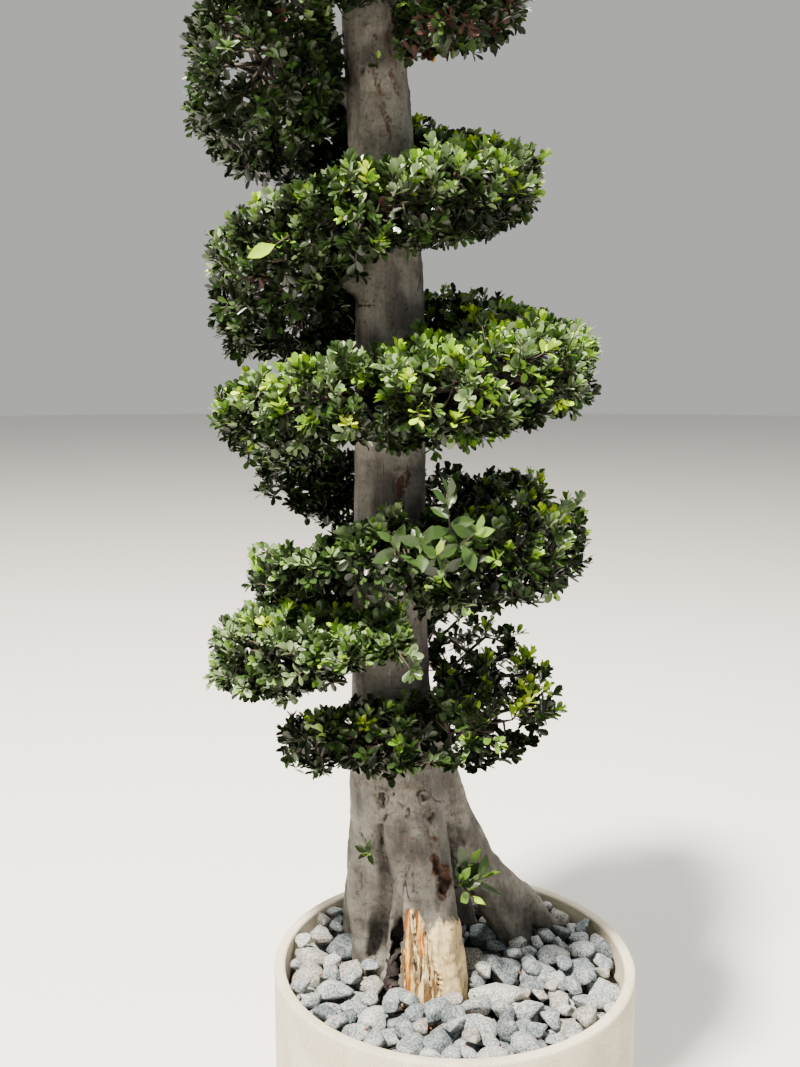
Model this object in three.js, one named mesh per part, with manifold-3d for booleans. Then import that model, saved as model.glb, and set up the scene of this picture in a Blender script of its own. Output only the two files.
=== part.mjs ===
// A potted ficus tree, clipped so that its foliage climbs the trunk as one rising spiral.
// Millimetres, +Z up. The origin is the middle of the planter's flat underside. The front is -Y.
import * as THREE from 'three';
import { mergeVertices } from 'three/addons/utils/BufferGeometryUtils.js';
import Module from 'manifold-3d';

const wasm = await Module();
wasm.setup();

const TAU = 2 * Math.PI;
const UP = new THREE.Vector3(0, 0, 1);
const RIGHT = new THREE.Vector3(1, 0, 0);
// Clearance that every solid keeps from its neighbours, and how close points are before they count as one
const GAP = 0.35;
const MERGE_DISTANCE = 1e-4;

// Planter and what fills it
const POT_RADIUS = 360;
const POT_HEIGHT = 480;
const POT_WALL = 22;
const POT_FLOOR = 30;
const POT_EDGE = 5;
const POT_FACETS = 48;
const SOIL_TOP = 400;
const BED_TOP = 428;
const STONE_PITCH = 84;
const STONE_WIDTHS = [74, 100];
const STONE_BREADTHS = [0.7, 0.9];
const STONE_FLATNESS = 0.56;
const STONE_TILT = 0.25;
const STONE_LIFT = 0.07;
const STONE_JITTER = 7;
const STONE_CLEARANCE = 22;
const STONE_RIM_CLEARANCE = 2;
const TRUNK_FOOT_RADIUS = 80;

// Trunk: side lean, height and radius along its middle line, which stands TRUNK_BACK behind the pot's middle
const TRUNK_BACK = 50;
const TRUNK_LINE = [
  [-98, 360, 62],
  [-100, 540, 78],
  [-108, 680, 96],
  [-112, 820, 98],
  [-121, 940, 84],
  [-129, 1100, 74.5],
  [-126, 1600, 67.5],
  [-129, 1840, 65],
  [-144, 2058, 62],
  [-151, 2180, 58.5],
  [-161, 2270, 54],
  [-171, 2500, 43],
  [-168, 2680, 30],
  [-166, 2800, 14],
];
const TRUNK_FACETS = 12;
const TRUNK_STEPS = 17;

// Roots that flare from the trunk: points of x, y, z and radius, from the trunk down into the soil
const ROOTS = {
  left: [[-158, 45, 800, 44], [-168, 38, 600, 50], [-173, 30, 480, 34], [-175, 28, 370, 28]],
  front: [[-90, 22, 890, 52], [-72, -14, 720, 60], [-60, -28, 600, 66], [-42, -58, 370, 70]],
  thin: [[-116, -8, 720, 26], [-126, -34, 560, 17], [-140, -44, 370, 15]],
  right: [[-62, 45, 930, 40], [20, 68, 700, 42], [74, 95, 590, 42], [118, 120, 500, 44], [146, 145, 370, 44]],
  far_right: [[60, 85, 650, 26], [113, 115, 584, 25], [159, 130, 532, 23], [204, 142, 475, 21], [238, 150, 370, 20]],
  left_back: [[-150, 95, 780, 46], [-178, 140, 560, 42], [-200, 172, 370, 40]],
  back: [[-100, 100, 840, 50], [-98, 150, 600, 48], [-88, 205, 370, 48]],
  right_back: [[-60, 95, 760, 46], [-10, 150, 560, 42], [40, 205, 370, 42]],
};
const ROOT_FACETS = 8;
const ROOT_STEPS = 5;

// Spiral of foliage: it crosses the front at FRONT_HEIGHT on turn 0 and climbs anticlockwise seen from above
const FRONT_HEIGHT = 1600;
const TURN_RISE = 305;
const FIRST_START = -0.01;
const CLUMP_STEP = 0.32;
const CLUMP_SPAN = 0.314;
const CLUMP_STANDOFF = 30;

// Runs of clumps along the spiral. Each clump has its step, its lift off the even climb, its reach from the
// trunk's middle line, and its depth from top to bottom. Its sizes hold at the middle of its step, or ahead of it
// by a share of a step. Within a run the sizes blend into one another.
// A clump may fill only a share of its step, from its start to its end, and have fewer sprays.
// The spiral breaks at the front left, where two lobes hang one under the other, each with sizes that it tapers to.
const LOWER_LOBE_TAIL = { step: -3, ahead: -0.7, lift: -114, reach: 345, depth: 82 };
const UPPER_LOBE_TAIL = { step: -3, ahead: -0.5, lift: 60, reach: 300, depth: 115 };
const RUNS = [
  [
    { step: -7, lift: 5, reach: 245, depth: 130 },
    { step: -6, lift: -60, reach: 335, depth: 150 },
    { step: -5, lift: -20, reach: 330, depth: 150 },
  ],
  [{ step: -4, ahead: -0.08, lift: -125, reach: 365, depth: 190, tail: LOWER_LOBE_TAIL }],
  [{ step: -4, lift: 33, reach: 280, depth: 108, tail: UPPER_LOBE_TAIL }],
  [
    { step: -3, lift: -20, reach: 385, depth: 180 },
    { step: -2, lift: -80, reach: 395, depth: 165 },
  ],
  [
    { step: -1, lift: 25, reach: 340, depth: 155 },
    { step: 0, lift: -15, reach: 405, depth: 200 },
    { step: 1, lift: 0, reach: 360, depth: 180 },
    { step: 2, ahead: -0.15, lift: -35, reach: 350, depth: 270 },
    { step: 3, ahead: -0.56, lift: 12, reach: 300, depth: 170 },
    { step: 4, lift: 5, reach: 300, depth: 175 },
    { step: 5, lift: 25, reach: 355, depth: 285 },
  ],
  [{ step: 6, lift: 108, reach: 240, depth: 104, span: [0, 0.37], sprays: 4 }],
  [
    { step: 6, lift: 27, reach: 295, depth: 220, span: [0.5, 1] },
    { step: 7, lift: 45, reach: 290, depth: 165 },
    { step: 8, lift: 40, reach: 285, depth: 180 },
    { step: 9, lift: 30, reach: 255, depth: 160 },
    { step: 10, lift: 15, reach: 225, depth: 140 },
  ],
];
const CROWN_HEIGHT = 2852;
const CROWN_RADIUS = 152;
const CROWN_HALF_DEPTH = 120;
const CROWN_SPRAYS = 8;

// Boughs, twigs and leaves. A bough's thickness follows the depth of the clump it carries.
const BOUGH_SHARE = 0.085;
const BOUGH_TAPER = 0.7;
const BOUGH_RISE = 26;
const BOUGH_ROOT = 0.4;
const BOUGH_COLLAR = 6;
const BOUGH_ENTRY = 18;
const BOUGH_FACETS = 6;
const BOUGH_STEPS = 3;
const STEM_RADIUS = 8;
const STEM_TAPER = 0.8;
const STEM_FACETS = 6;
const CORE_FACETS = [8, 6];
const CORE_INSET = 22;
const END_INSET = 3;
const SQUARENESS = 3;
const END_SQUARENESS = 5;
const FAN = 2.1;
const FAN_JITTER = 0.15;
const ALONG_JITTER = 0.04;
const BALL_SPAN = 1.7;
const BALL_JITTER = 0.2;
const GOLDEN = (Math.sqrt(5) - 1) / 2;
const SPRAYS = 7;
const LEAVES_IN_SPRAY = 3;
const TWIG_RADII = [7, 4.5];
const TWIG_FACETS = 3;
const TWIG_FOOT = 0.8;
const TWIG_LIFT = 6;
const LEAF_LENGTH = 98;
const LEAF_LENGTH_RANGE = [0.88, 1.1];
const LEAF_TURN_JITTER = 0.3;
// Each leaf is tried with these shares of its length and leans from its twig, until one fits
const LEAF_TRIES = [[1, 1.0], [1, 1.2], [0.95, 1.35], [0.85, 1.45], [0.7, 1.3], [0.55, 1.2]];
const LEAF_SHAPE = { width: 0.58, thickness: 0.075, widest: 0.6, fold: 0.06 };

// Young shoot in the fork between the front and right roots: where it leaves the root, its middle and size
const SHOOT = {
  foot: [-12, -34, 632],
  middle: [40, -66, 668],
  stem: 5,
  radius: 70,
  spread: 0.6,
  leaf: 62,
  sprays: 3,
};

// Starting numbers of the seeded draws
const STONE_SEED = 11;
const CLUMP_SEED = 100;
const CROWN_SEED = 300;
const SHOOT_SEED = 400;

const material = (color, roughness) => new THREE.MeshStandardMaterial({ color, roughness, metalness: 0 });
const FINISH = {
  concrete: material('#d6d0bf', 0.8),
  soil: material('#3b2f25', 0.95),
  stone: material('#7d8488', 0.7),
  bark: material('#a99a88', 0.85),
  foliage: material('#3d5a2b', 0.5),
  young: material('#8fb33a', 0.45),
};

// Seeded random numbers from 0 to 1, the same on every run
function seeded(seed) {
  let state = seed >>> 0;
  return () => {
    state = (state + 0x6d2b79f5) >>> 0;
    let mixed = Math.imul(state ^ (state >>> 15), state | 1);
    mixed ^= mixed + Math.imul(mixed ^ (mixed >>> 7), mixed | 61);
    return ((mixed ^ (mixed >>> 14)) >>> 0) / 4294967296;
  };
}

const between = (random, low, high) => low + (high - low) * random();
const vector = (values) => new THREE.Vector3(values[0], values[1], values[2]);

// A closed three.js geometry as a solid that can be joined and cut
function solidFrom(geometry) {
  geometry.deleteAttribute('normal');
  geometry.deleteAttribute('uv');
  const merged = mergeVertices(geometry, MERGE_DISTANCE);
  const vertProperties = new Float32Array(merged.attributes.position.array);
  const triVerts = new Uint32Array(merged.index.array);
  return new wasm.Manifold(new wasm.Mesh({ numProp: 3, vertProperties, triVerts }));
}

const joined = (solids) => wasm.Manifold.union(solids);

// The main piece of a joined solid, without loose scraps and with any sealed hollow filled
function wholeOf(solid) {
  const pieces = solid.decompose();
  return pieces.reduce((largest, piece) => (piece.volume() > largest.volume() ? piece : largest));
}

// A named mesh of a solid, placed in the scene at its own reference point
function partMesh(name, solid, finish, at) {
  const { vertProperties, triVerts } = solid.getMesh();
  const geometry = new THREE.BufferGeometry();
  geometry.setAttribute('position', new THREE.BufferAttribute(new Float32Array(vertProperties), 3));
  geometry.setIndex(new THREE.BufferAttribute(new Uint32Array(triVerts), 1));
  geometry.translate(-at.x, -at.y, -at.z);
  geometry.computeVertexNormals();
  const mesh = new THREE.Mesh(geometry, finish);
  mesh.name = name;
  mesh.position.copy(at);
  return mesh;
}

// A profile of [radius, height] points turned about the vertical axis
function turned(profile) {
  const points = profile.map(([radius, height]) => new THREE.Vector2(radius, height));
  return new THREE.LatheGeometry(points, POT_FACETS).rotateX(Math.PI / 2);
}

// A cylinder bent along a smooth line of points of x, y, z and radius
function limb(line, facets, steps, grow = 0) {
  const route = new THREE.CatmullRomCurve3(line.map(vector), false, 'centripetal');
  const radii = line.map((point, index) => new THREE.Vector3(point[3], index, 0));
  const girth = new THREE.CatmullRomCurve3(radii, false, 'centripetal');
  const heading = vector(line.at(-1)).sub(vector(line[0])).normalize();
  const reference = Math.abs(heading.z) > 0.7 ? RIGHT : UP;
  const geometry = new THREE.CylinderGeometry(1, 1, 1, facets, steps);
  const position = geometry.attributes.position;
  for (let index = 0; index < position.count; index += 1) {
    const share = THREE.MathUtils.clamp(position.getY(index) + 0.5, 0, 1);
    const tangent = route.getTangent(share);
    const sideways = reference.clone().addScaledVector(tangent, -reference.dot(tangent)).normalize();
    const across = sideways.clone().cross(tangent);
    const radius = girth.getPoint(share).x + grow;
    const place = route.getPoint(share);
    place.addScaledVector(sideways, radius * position.getX(index));
    place.addScaledVector(across, radius * position.getZ(index));
    position.setXYZ(index, place.x, place.y, place.z);
  }
  return geometry;
}

// A straight tapering rod between two points
function rod(from, to, radii, facets) {
  return limb([[...from.toArray(), radii[0]], [...to.toArray(), radii[1]]], facets, 1);
}

// Everything below the given height, as a block to cut with
function blockBelow(height) {
  const side = 3 * POT_RADIUS;
  return solidFrom(new THREE.BoxGeometry(side, side, side).translate(0, 0, height - side / 2));
}

// A limb's line made longer at its tip
function lengthened(line, extra) {
  const tip = vector(line.at(-1));
  const heading = tip.clone().sub(vector(line.at(-2))).normalize();
  const end = tip.addScaledVector(heading, extra);
  return [...line.slice(0, -1), [...end.toArray(), line.at(-1)[3]]];
}

function trunkSolid(grow = 0) {
  const stem = lengthened(TRUNK_LINE.map(([x, z, radius]) => [x, TRUNK_BACK, z, radius]), grow);
  const roots = Object.values(ROOTS).map((line) => solidFrom(limb(line, ROOT_FACETS, ROOT_STEPS, grow)));
  return joined([solidFrom(limb(stem, TRUNK_FACETS, TRUNK_STEPS, grow)), ...roots]);
}

// The trunk's middle and radius at a height
function trunkAt(height) {
  const above = TRUNK_LINE.findIndex((row) => row[1] >= height);
  const upper = above < 1 ? TRUNK_LINE.length - 1 : above;
  const [low, high] = [TRUNK_LINE[upper - 1], TRUNK_LINE[upper]];
  const share = THREE.MathUtils.clamp((height - low[1]) / (high[1] - low[1]), 0, 1);
  return {
    x: THREE.MathUtils.lerp(low[0], high[0], share),
    y: TRUNK_BACK,
    radius: THREE.MathUtils.lerp(low[2], high[2], share),
  };
}

function potSolid() {
  const inner = POT_RADIUS - POT_WALL;
  const profile = [
    [0, 0],
    [POT_RADIUS - POT_EDGE, 0],
    [POT_RADIUS, POT_EDGE],
    [POT_RADIUS, POT_HEIGHT - POT_EDGE],
    [POT_RADIUS - POT_EDGE, POT_HEIGHT],
    [inner + POT_EDGE, POT_HEIGHT],
    [inner, POT_HEIGHT - POT_EDGE],
    [inner, POT_FLOOR],
    [0, POT_FLOOR],
  ];
  return solidFrom(turned(profile));
}

// A filling of the pot between two heights, clear of its wall
function fillSolid(bottom, top) {
  const radius = POT_RADIUS - POT_WALL - GAP;
  return solidFrom(turned([[0, bottom], [radius, bottom], [radius, top], [0, top]]));
}

// One river stone: a flattened ball of few faces, turned and tilted at random
function stone(random, x, y) {
  const width = between(random, ...STONE_WIDTHS);
  const geometry = new THREE.IcosahedronGeometry(width / 2, 0);
  geometry.scale(1, between(random, ...STONE_BREADTHS), STONE_FLATNESS);
  geometry.rotateX(between(random, -STONE_TILT, STONE_TILT));
  geometry.rotateZ(between(random, 0, TAU));
  return geometry.translate(x, y, BED_TOP + width * STONE_LIFT);
}

// River stones on a jittered grid of staggered rows over the bed, none of them inside the trunk's foot
function stoneSolids() {
  const random = seeded(STONE_SEED);
  const reach = POT_RADIUS - POT_WALL - STONE_WIDTHS[1] / 2 - STONE_RIM_CLEARANCE;
  const rowPitch = STONE_PITCH * Math.sin(TAU / 6);
  const rows = Math.ceil(reach / rowPitch);
  const trunkFoot = [TRUNK_LINE[0][0], TRUNK_BACK, 0, TRUNK_FOOT_RADIUS];
  const feet = [...Object.values(ROOTS).map((line) => line.at(-1)), trunkFoot];
  const stones = [];
  for (let row = -rows; row <= rows; row += 1) {
    for (let column = -rows - 1; column <= rows + 1; column += 1) {
      const shift = row % 2 === 0 ? 0 : 0.5;
      const x = (column + shift) * STONE_PITCH + between(random, -STONE_JITTER, STONE_JITTER);
      const y = row * rowPitch + between(random, -STONE_JITTER, STONE_JITTER);
      const clear = feet.every((foot) => Math.hypot(x - foot[0], y - foot[1]) > foot[3] + STONE_CLEARANCE);
      if (Math.hypot(x, y) < reach && clear) {
        stones.push(solidFrom(stone(random, x, y)));
      }
    }
  }
  return stones;
}

function bedSolid(grownTrunk) {
  const bed = joined([fillSolid(SOIL_TOP + GAP, BED_TOP), ...stoneSolids()]);
  return wholeOf(bed.subtract(blockBelow(SOIL_TOP + GAP)).subtract(grownTrunk));
}

const spiralHeight = (turn) => FRONT_HEIGHT + TURN_RISE * turn;
const spiralAngle = (turn) => TAU * (turn - 0.25);

const powerSum = (first, second, power) => {
  const sum = Math.abs(first) ** power + Math.abs(second) ** power;
  return sum ** (1 / power);
};

// A direction pushed out to the surface of the rounded box that clumps and cores share, blunt at its ends
function squared(share) {
  const girth = powerSum(share.x, share.z, SQUARENESS);
  return share.clone().divideScalar(powerSum(girth, share.y, END_SQUARENESS));
}

// Turn at which a clump's sizes hold: the middle of its step, or further on by a share of a step
function sizeTurn({ step, ahead = 0 }) {
  return FIRST_START + (step + ahead) * CLUMP_STEP + CLUMP_SPAN / 2;
}

// The room that one clump of the spiral keeps to. Its points are given by three shares from -1 to 1:
// out from the trunk, along the spiral, and up. Towards each end its size blends with its neighbour's.
class SpiralRoom {
  constructor(own, before = own, after = own.tail ?? own) {
    const [start, end] = own.span ?? [0, 1];
    const first = FIRST_START + own.step * CLUMP_STEP;
    this.turn = first + (CLUMP_SPAN * (start + end)) / 2;
    this.halfTurn = (CLUMP_SPAN * (end - start)) / 2;
    this.own = own;
    this.before = before;
    this.after = after;
    this.leafLength = LEAF_LENGTH;
    this.sprays = own.sprays ?? SPRAYS;
  }

  // Middle of the room's section at a turn, and its half sizes out and up
  section(turn) {
    const own = sizeTurn(this.own);
    const neighbour = turn < own ? this.before : this.after;
    const apart = sizeTurn(neighbour) - own;
    const share = apart === 0 ? 0 : THREE.MathUtils.smoothstep((turn - own) / apart, 0, 1);
    const size = (key) => THREE.MathUtils.lerp(this.own[key], neighbour[key], share);
    const height = spiralHeight(turn) + size('lift');
    const trunk = trunkAt(height);
    const inner = trunk.radius + CLUMP_STANDOFF;
    const middle = (inner + size('reach')) / 2;
    return { trunk, height, inner, middle, halfOut: middle - inner, halfUp: size('depth') / 2 };
  }

  place(share, inset = 0, endInset = 0) {
    const ends = this.halfTurn - endInset / (TAU * this.section(this.turn).middle);
    const turn = this.turn + share.y * ends;
    const { trunk, height, middle, halfOut, halfUp } = this.section(turn);
    const out = middle + share.x * (halfOut - inset);
    const angle = spiralAngle(turn);
    const up = share.z * (halfUp - inset);
    return new THREE.Vector3(trunk.x + out * Math.cos(angle), trunk.y + out * Math.sin(angle), height + up);
  }

  holds(point) {
    const seen = this.section(this.turn).trunk;
    const turn = Math.atan2(point.y - seen.y, point.x - seen.x) / TAU + 0.25;
    const nearest = turn + Math.round(this.turn - turn);
    const { trunk, height, middle, halfOut, halfUp } = this.section(nearest);
    const out = (Math.hypot(point.x - trunk.x, point.y - trunk.y) - middle) / halfOut;
    const along = (nearest - this.turn) / this.halfTurn;
    const up = (point.z - height) / halfUp;
    return powerSum(out, up, SQUARENESS) <= 1 && Math.abs(along) <= 1;
  }

  coreShare(share) {
    return squared(share);
  }

  // Sprays follow one another along the clump and fan over its top, outside and underside in turn
  sprayShare(index, random) {
    const along = (2 * index + 1) / this.sprays - 1;
    const fan = FAN * (2 * ((index * GOLDEN + 0.5) % 1) - 1) + between(random, -FAN_JITTER, FAN_JITTER);
    const girth = (1 - Math.abs(along) ** END_SQUARENESS) ** (1 / END_SQUARENESS);
    const side = squared(new THREE.Vector3(Math.cos(fan), 0, Math.sin(fan))).multiplyScalar(girth);
    return side.setY(along + between(random, -ALONG_JITTER, ALONG_JITTER));
  }
}

// A rounded room with straight axes, for the crown's top and for a young shoot
class BallRoom {
  constructor(centre, half, leafLength, sprays) {
    this.centre = centre;
    this.half = half;
    this.leafLength = leafLength;
    this.sprays = sprays;
  }

  place(share, inset = 0) {
    return share.clone().multiply(this.half.clone().subScalar(inset)).add(this.centre);
  }

  holds(point) {
    return point.clone().sub(this.centre).divide(this.half).length() <= 1;
  }

  coreShare(share) {
    return share;
  }

  // Evenly spread over the ball from its top down, by the sunflower rule
  sprayShare(index, random) {
    const up = 1 - (BALL_SPAN * (index + 0.5)) / this.sprays;
    const angle = TAU * GOLDEN * index + between(random, -BALL_JITTER, BALL_JITTER);
    const flat = Math.sqrt(1 - up * up);
    return new THREE.Vector3(flat * Math.cos(angle), flat * Math.sin(angle), up);
  }
}

// The dense inside of a clipped clump, smaller than its room all round
function core(room) {
  const geometry = new THREE.SphereGeometry(1, ...CORE_FACETS);
  const position = geometry.attributes.position;
  for (let index = 0; index < position.count; index += 1) {
    const share = new THREE.Vector3().fromBufferAttribute(position, index);
    const place = room.place(room.coreShare(share), CORE_INSET, END_INSET);
    position.setXYZ(index, place.x, place.y, place.z);
  }
  return geometry;
}

// One leaf of eight faces, from its root in a direction, with its face turned towards facing
function leaf(root, direction, facing, length) {
  const geometry = new THREE.OctahedronGeometry(1, 0);
  const position = geometry.attributes.position;
  const across = new THREE.Vector3().crossVectors(facing, direction).normalize();
  const normal = new THREE.Vector3().crossVectors(direction, across).normalize();
  for (let index = 0; index < position.count; index += 1) {
    const [x, y, z] = [position.getX(index), position.getY(index), position.getZ(index)];
    const forward = 0.5 + 0.5 * x + (LEAF_SHAPE.widest - 0.5) * (1 - Math.abs(x));
    const lift = (z * LEAF_SHAPE.thickness) / 2 + Math.abs(y) * LEAF_SHAPE.fold;
    const place = root.clone().addScaledVector(direction, forward * length);
    place.addScaledVector(across, (y * LEAF_SHAPE.width * length) / 2);
    place.addScaledVector(normal, lift * length);
    position.setXYZ(index, place.x, place.y, place.z);
  }
  return geometry;
}

// Whether every corner of a geometry passes a test
function cornersPass(geometry, test) {
  const position = geometry.attributes.position;
  for (let index = 0; index < position.count; index += 1) {
    if (!test(new THREE.Vector3().fromBufferAttribute(position, index))) {
      return false;
    }
  }
  return true;
}

// Leaves round the end of a twig. Each is tried shorter and shorter until its room holds it.
function sprayLeaves(random, end, heading, room, isFree) {
  const reference = Math.abs(heading.z) > 0.9 ? RIGHT : UP;
  const first = new THREE.Vector3().crossVectors(heading, reference).normalize();
  const second = new THREE.Vector3().crossVectors(heading, first).normalize();
  const root = end.clone().addScaledVector(heading, -2 * TWIG_RADII[1]);
  const start = between(random, 0, TAU);
  const leaves = [];
  for (let index = 0; index < LEAVES_IN_SPRAY; index += 1) {
    const jitter = between(random, -LEAF_TURN_JITTER, LEAF_TURN_JITTER);
    const angle = start + (index * TAU) / LEAVES_IN_SPRAY + jitter;
    const full = room.leafLength * between(random, ...LEAF_LENGTH_RANGE);
    for (const [share, lean] of LEAF_TRIES) {
      const direction = heading.clone().multiplyScalar(Math.cos(lean));
      direction.addScaledVector(first, Math.sin(lean) * Math.cos(angle));
      direction.addScaledVector(second, Math.sin(lean) * Math.sin(angle));
      const blade = leaf(root, direction, heading, full * share);
      if (cornersPass(blade, isFree)) {
        leaves.push(solidFrom(blade));
        break;
      }
    }
  }
  return leaves;
}

// One mass of foliage: a stem from the limb that carries it to the room's middle, twigs that branch from
// there to sprays of leaves all over the room, and the dense core of a clipped clump. It is cut clear of the
// limb, which is given a little larger than it is.
function massSolid({ room, foot: stemFoot, limbSolid, stemRadius, seed, isFree, coreInset }) {
  const random = seeded(seed);
  const middle = room.place(new THREE.Vector3());
  const parts = [solidFrom(rod(stemFoot, middle, [stemRadius, STEM_TAPER * stemRadius], STEM_FACETS))];
  if (coreInset) {
    parts.push(solidFrom(core(room)));
  }
  for (let index = 0; index < room.sprays; index += 1) {
    const share = room.sprayShare(index, random);
    const foot = room.place(share.clone().multiplyScalar(coreInset ? TWIG_FOOT : 0), coreInset);
    const end = room.place(share, coreInset ? coreInset - TWIG_LIFT : room.half.x * SHOOT.spread);
    const heading = end.clone().sub(foot).normalize();
    parts.push(solidFrom(rod(foot, end, TWIG_RADII, TWIG_FACETS)));
    parts.push(...sprayLeaves(random, end, heading, room, isFree));
  }
  return wholeOf(joined(parts).subtract(limbSolid));
}

// The bough that carries a clump: it rises out of the trunk and levels off where it enters the clump
function boughLine(room) {
  const { trunk, height, inner } = room.section(room.turn);
  const angle = spiralAngle(room.turn);
  const radius = BOUGH_SHARE * room.own.depth;
  const at = (out, rise, thickness) => [
    trunk.x + out * Math.cos(angle),
    trunk.y + out * Math.sin(angle),
    height + rise,
    radius * thickness,
  ];
  return [
    at(trunk.radius * BOUGH_ROOT, -1.4 * BOUGH_RISE, 1),
    at(trunk.radius + BOUGH_COLLAR, -0.3 * BOUGH_RISE, (1 + BOUGH_TAPER) / 2),
    at(inner + BOUGH_ENTRY, 0, BOUGH_TAPER),
  ];
}

// A clump of the spiral and the bough that carries it
function addClump(group, number, room, grownTrunk) {
  const line = boughLine(room);
  const tip = vector(line.at(-1));
  const bough = solidFrom(limb(line, BOUGH_FACETS, BOUGH_STEPS)).subtract(grownTrunk);
  const mass = massSolid({
    room,
    foot: tip,
    limbSolid: solidFrom(limb(lengthened(line, GAP), BOUGH_FACETS, BOUGH_STEPS, GAP)),
    stemRadius: STEM_RADIUS,
    seed: CLUMP_SEED + number,
    isFree: (corner) => room.holds(corner) && corner.distanceTo(tip) > 2 * line[0][3],
    coreInset: CORE_INSET,
  });
  const label = String(number).padStart(2, '0');
  group.add(partMesh(`bough_${label}`, wholeOf(bough), FINISH.bark, vector(line[1])));
  group.add(partMesh(`clump_${label}`, mass, FINISH.foliage, room.place(new THREE.Vector3())));
}

function addCrown(group, grownTrunk) {
  const [x, z, radius] = TRUNK_LINE.at(-1);
  const tip = new THREE.Vector3(x, TRUNK_BACK, z);
  const centre = new THREE.Vector3(x, TRUNK_BACK, CROWN_HEIGHT);
  const half = new THREE.Vector3(CROWN_RADIUS, CROWN_RADIUS, CROWN_HALF_DEPTH);
  const room = new BallRoom(centre, half, LEAF_LENGTH, CROWN_SPRAYS);
  const mass = massSolid({
    room,
    foot: tip,
    limbSolid: grownTrunk,
    stemRadius: STEM_RADIUS,
    seed: CROWN_SEED,
    isFree: (corner) => room.holds(corner) && corner.distanceTo(tip) > 2 * radius,
    coreInset: CORE_INSET,
  });
  group.add(partMesh('crown_top', mass, FINISH.foliage, centre));
}

function addShoot(group, grownTrunk) {
  const middle = vector(SHOOT.middle);
  const half = new THREE.Vector3().setScalar(SHOOT.radius);
  const room = new BallRoom(middle, half, SHOOT.leaf, SHOOT.sprays);
  const mass = massSolid({
    room,
    foot: vector(SHOOT.foot),
    limbSolid: grownTrunk,
    stemRadius: SHOOT.stem,
    seed: SHOOT_SEED,
    isFree: (corner) => room.holds(corner),
    coreInset: 0,
  });
  group.add(partMesh('young_shoot', mass, FINISH.young, middle));
}

const tree = new THREE.Group();
const planter = new THREE.Group();
const foliage = new THREE.Group();
tree.add(planter, foliage);

const grownTrunk = trunkSolid(GAP);
const trunkFoot = new THREE.Vector3(TRUNK_LINE[0][0], TRUNK_BACK, SOIL_TOP + GAP);
const trunk = wholeOf(trunkSolid().subtract(blockBelow(SOIL_TOP + GAP)));
tree.add(partMesh('trunk', trunk, FINISH.bark, trunkFoot));

const onAxis = (height) => new THREE.Vector3(0, 0, height);
planter.add(partMesh('pot', potSolid(), FINISH.concrete, onAxis(0)));
planter.add(partMesh('soil', fillSolid(POT_FLOOR + GAP, SOIL_TOP), FINISH.soil, onAxis(POT_FLOOR + GAP)));
planter.add(partMesh('stone_bed', bedSolid(grownTrunk), FINISH.stone, onAxis(SOIL_TOP + GAP)));

let number = 0;
for (const run of RUNS) {
  run.forEach((clump, index) => {
    number += 1;
    addClump(foliage, number, new SpiralRoom(clump, run[index - 1], run[index + 1]), grownTrunk);
  });
}
addCrown(foliage, grownTrunk);
addShoot(foliage, grownTrunk);

export default tree;
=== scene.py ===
"""The looks of a potted ficus tree, clipped to a rising spiral of foliage.

Metres, +Z up, with the front towards -Y and the origin in the middle of the planter's underside.
"""

import sys
import logging
import math
from collections.abc import Callable, Iterable, Mapping
from dataclasses import dataclass, field
from enum import Enum
from typing import Any

import bmesh
import bpy
import numpy as np
from mathutils import Matrix, Vector


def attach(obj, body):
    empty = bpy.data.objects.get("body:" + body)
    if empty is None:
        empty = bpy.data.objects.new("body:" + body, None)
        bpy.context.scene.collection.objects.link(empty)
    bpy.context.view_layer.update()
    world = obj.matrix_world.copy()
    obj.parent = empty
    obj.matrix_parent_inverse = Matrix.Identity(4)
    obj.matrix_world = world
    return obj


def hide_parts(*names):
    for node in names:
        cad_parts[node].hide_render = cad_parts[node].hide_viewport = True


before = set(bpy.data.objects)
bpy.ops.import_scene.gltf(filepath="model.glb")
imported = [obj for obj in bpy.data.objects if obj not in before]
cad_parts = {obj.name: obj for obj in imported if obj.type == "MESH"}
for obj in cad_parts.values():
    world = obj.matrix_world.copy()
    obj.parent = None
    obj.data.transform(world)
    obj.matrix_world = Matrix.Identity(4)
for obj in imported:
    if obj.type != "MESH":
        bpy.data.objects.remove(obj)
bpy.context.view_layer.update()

LOG = logging.getLogger("ficus")
BODY = "root"
TAU = 2 * math.pi
GOLDEN = (math.sqrt(5) - 1) / 2
UP = np.array([0.0, 0.0, 1.0])
MILLIMETRE = 0.001

# Planter and its filling
POT_RADIUS = 0.360
POT_HEIGHT = 0.480
POT_WALL = 0.022
POT_FLOOR = 0.030
SOIL_TOP = 0.404

# Trunk: side lean, height and radius along its middle line, which stands TRUNK_BACK behind the pot's middle
TRUNK_BACK = 0.050
TRUNK_LINE = np.array([
    [-0.098, 0.360, 0.062],
    [-0.100, 0.540, 0.078],
    [-0.108, 0.680, 0.096],
    [-0.112, 0.820, 0.098],
    [-0.121, 0.940, 0.084],
    [-0.129, 1.100, 0.0745],
    [-0.126, 1.600, 0.0675],
    [-0.129, 1.840, 0.065],
    [-0.144, 2.058, 0.062],
    [-0.151, 2.180, 0.0585],
    [-0.161, 2.270, 0.054],
    [-0.171, 2.500, 0.043],
    [-0.168, 2.680, 0.030],
    [-0.166, 2.800, 0.014],
])
# Where each root enters the bed of stones: x, y and radius
ROOT_FEET = np.array([
    [-0.175, 0.028, 0.030],
    [-0.045, -0.055, 0.070],
    [-0.138, -0.043, 0.015],
    [0.137, 0.136, 0.044],
    [0.228, 0.148, 0.020],
    [-0.196, 0.168, 0.040],
    [-0.090, 0.198, 0.048],
    [0.032, 0.198, 0.042],
    [-0.098, 0.050, 0.080],
])

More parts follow.
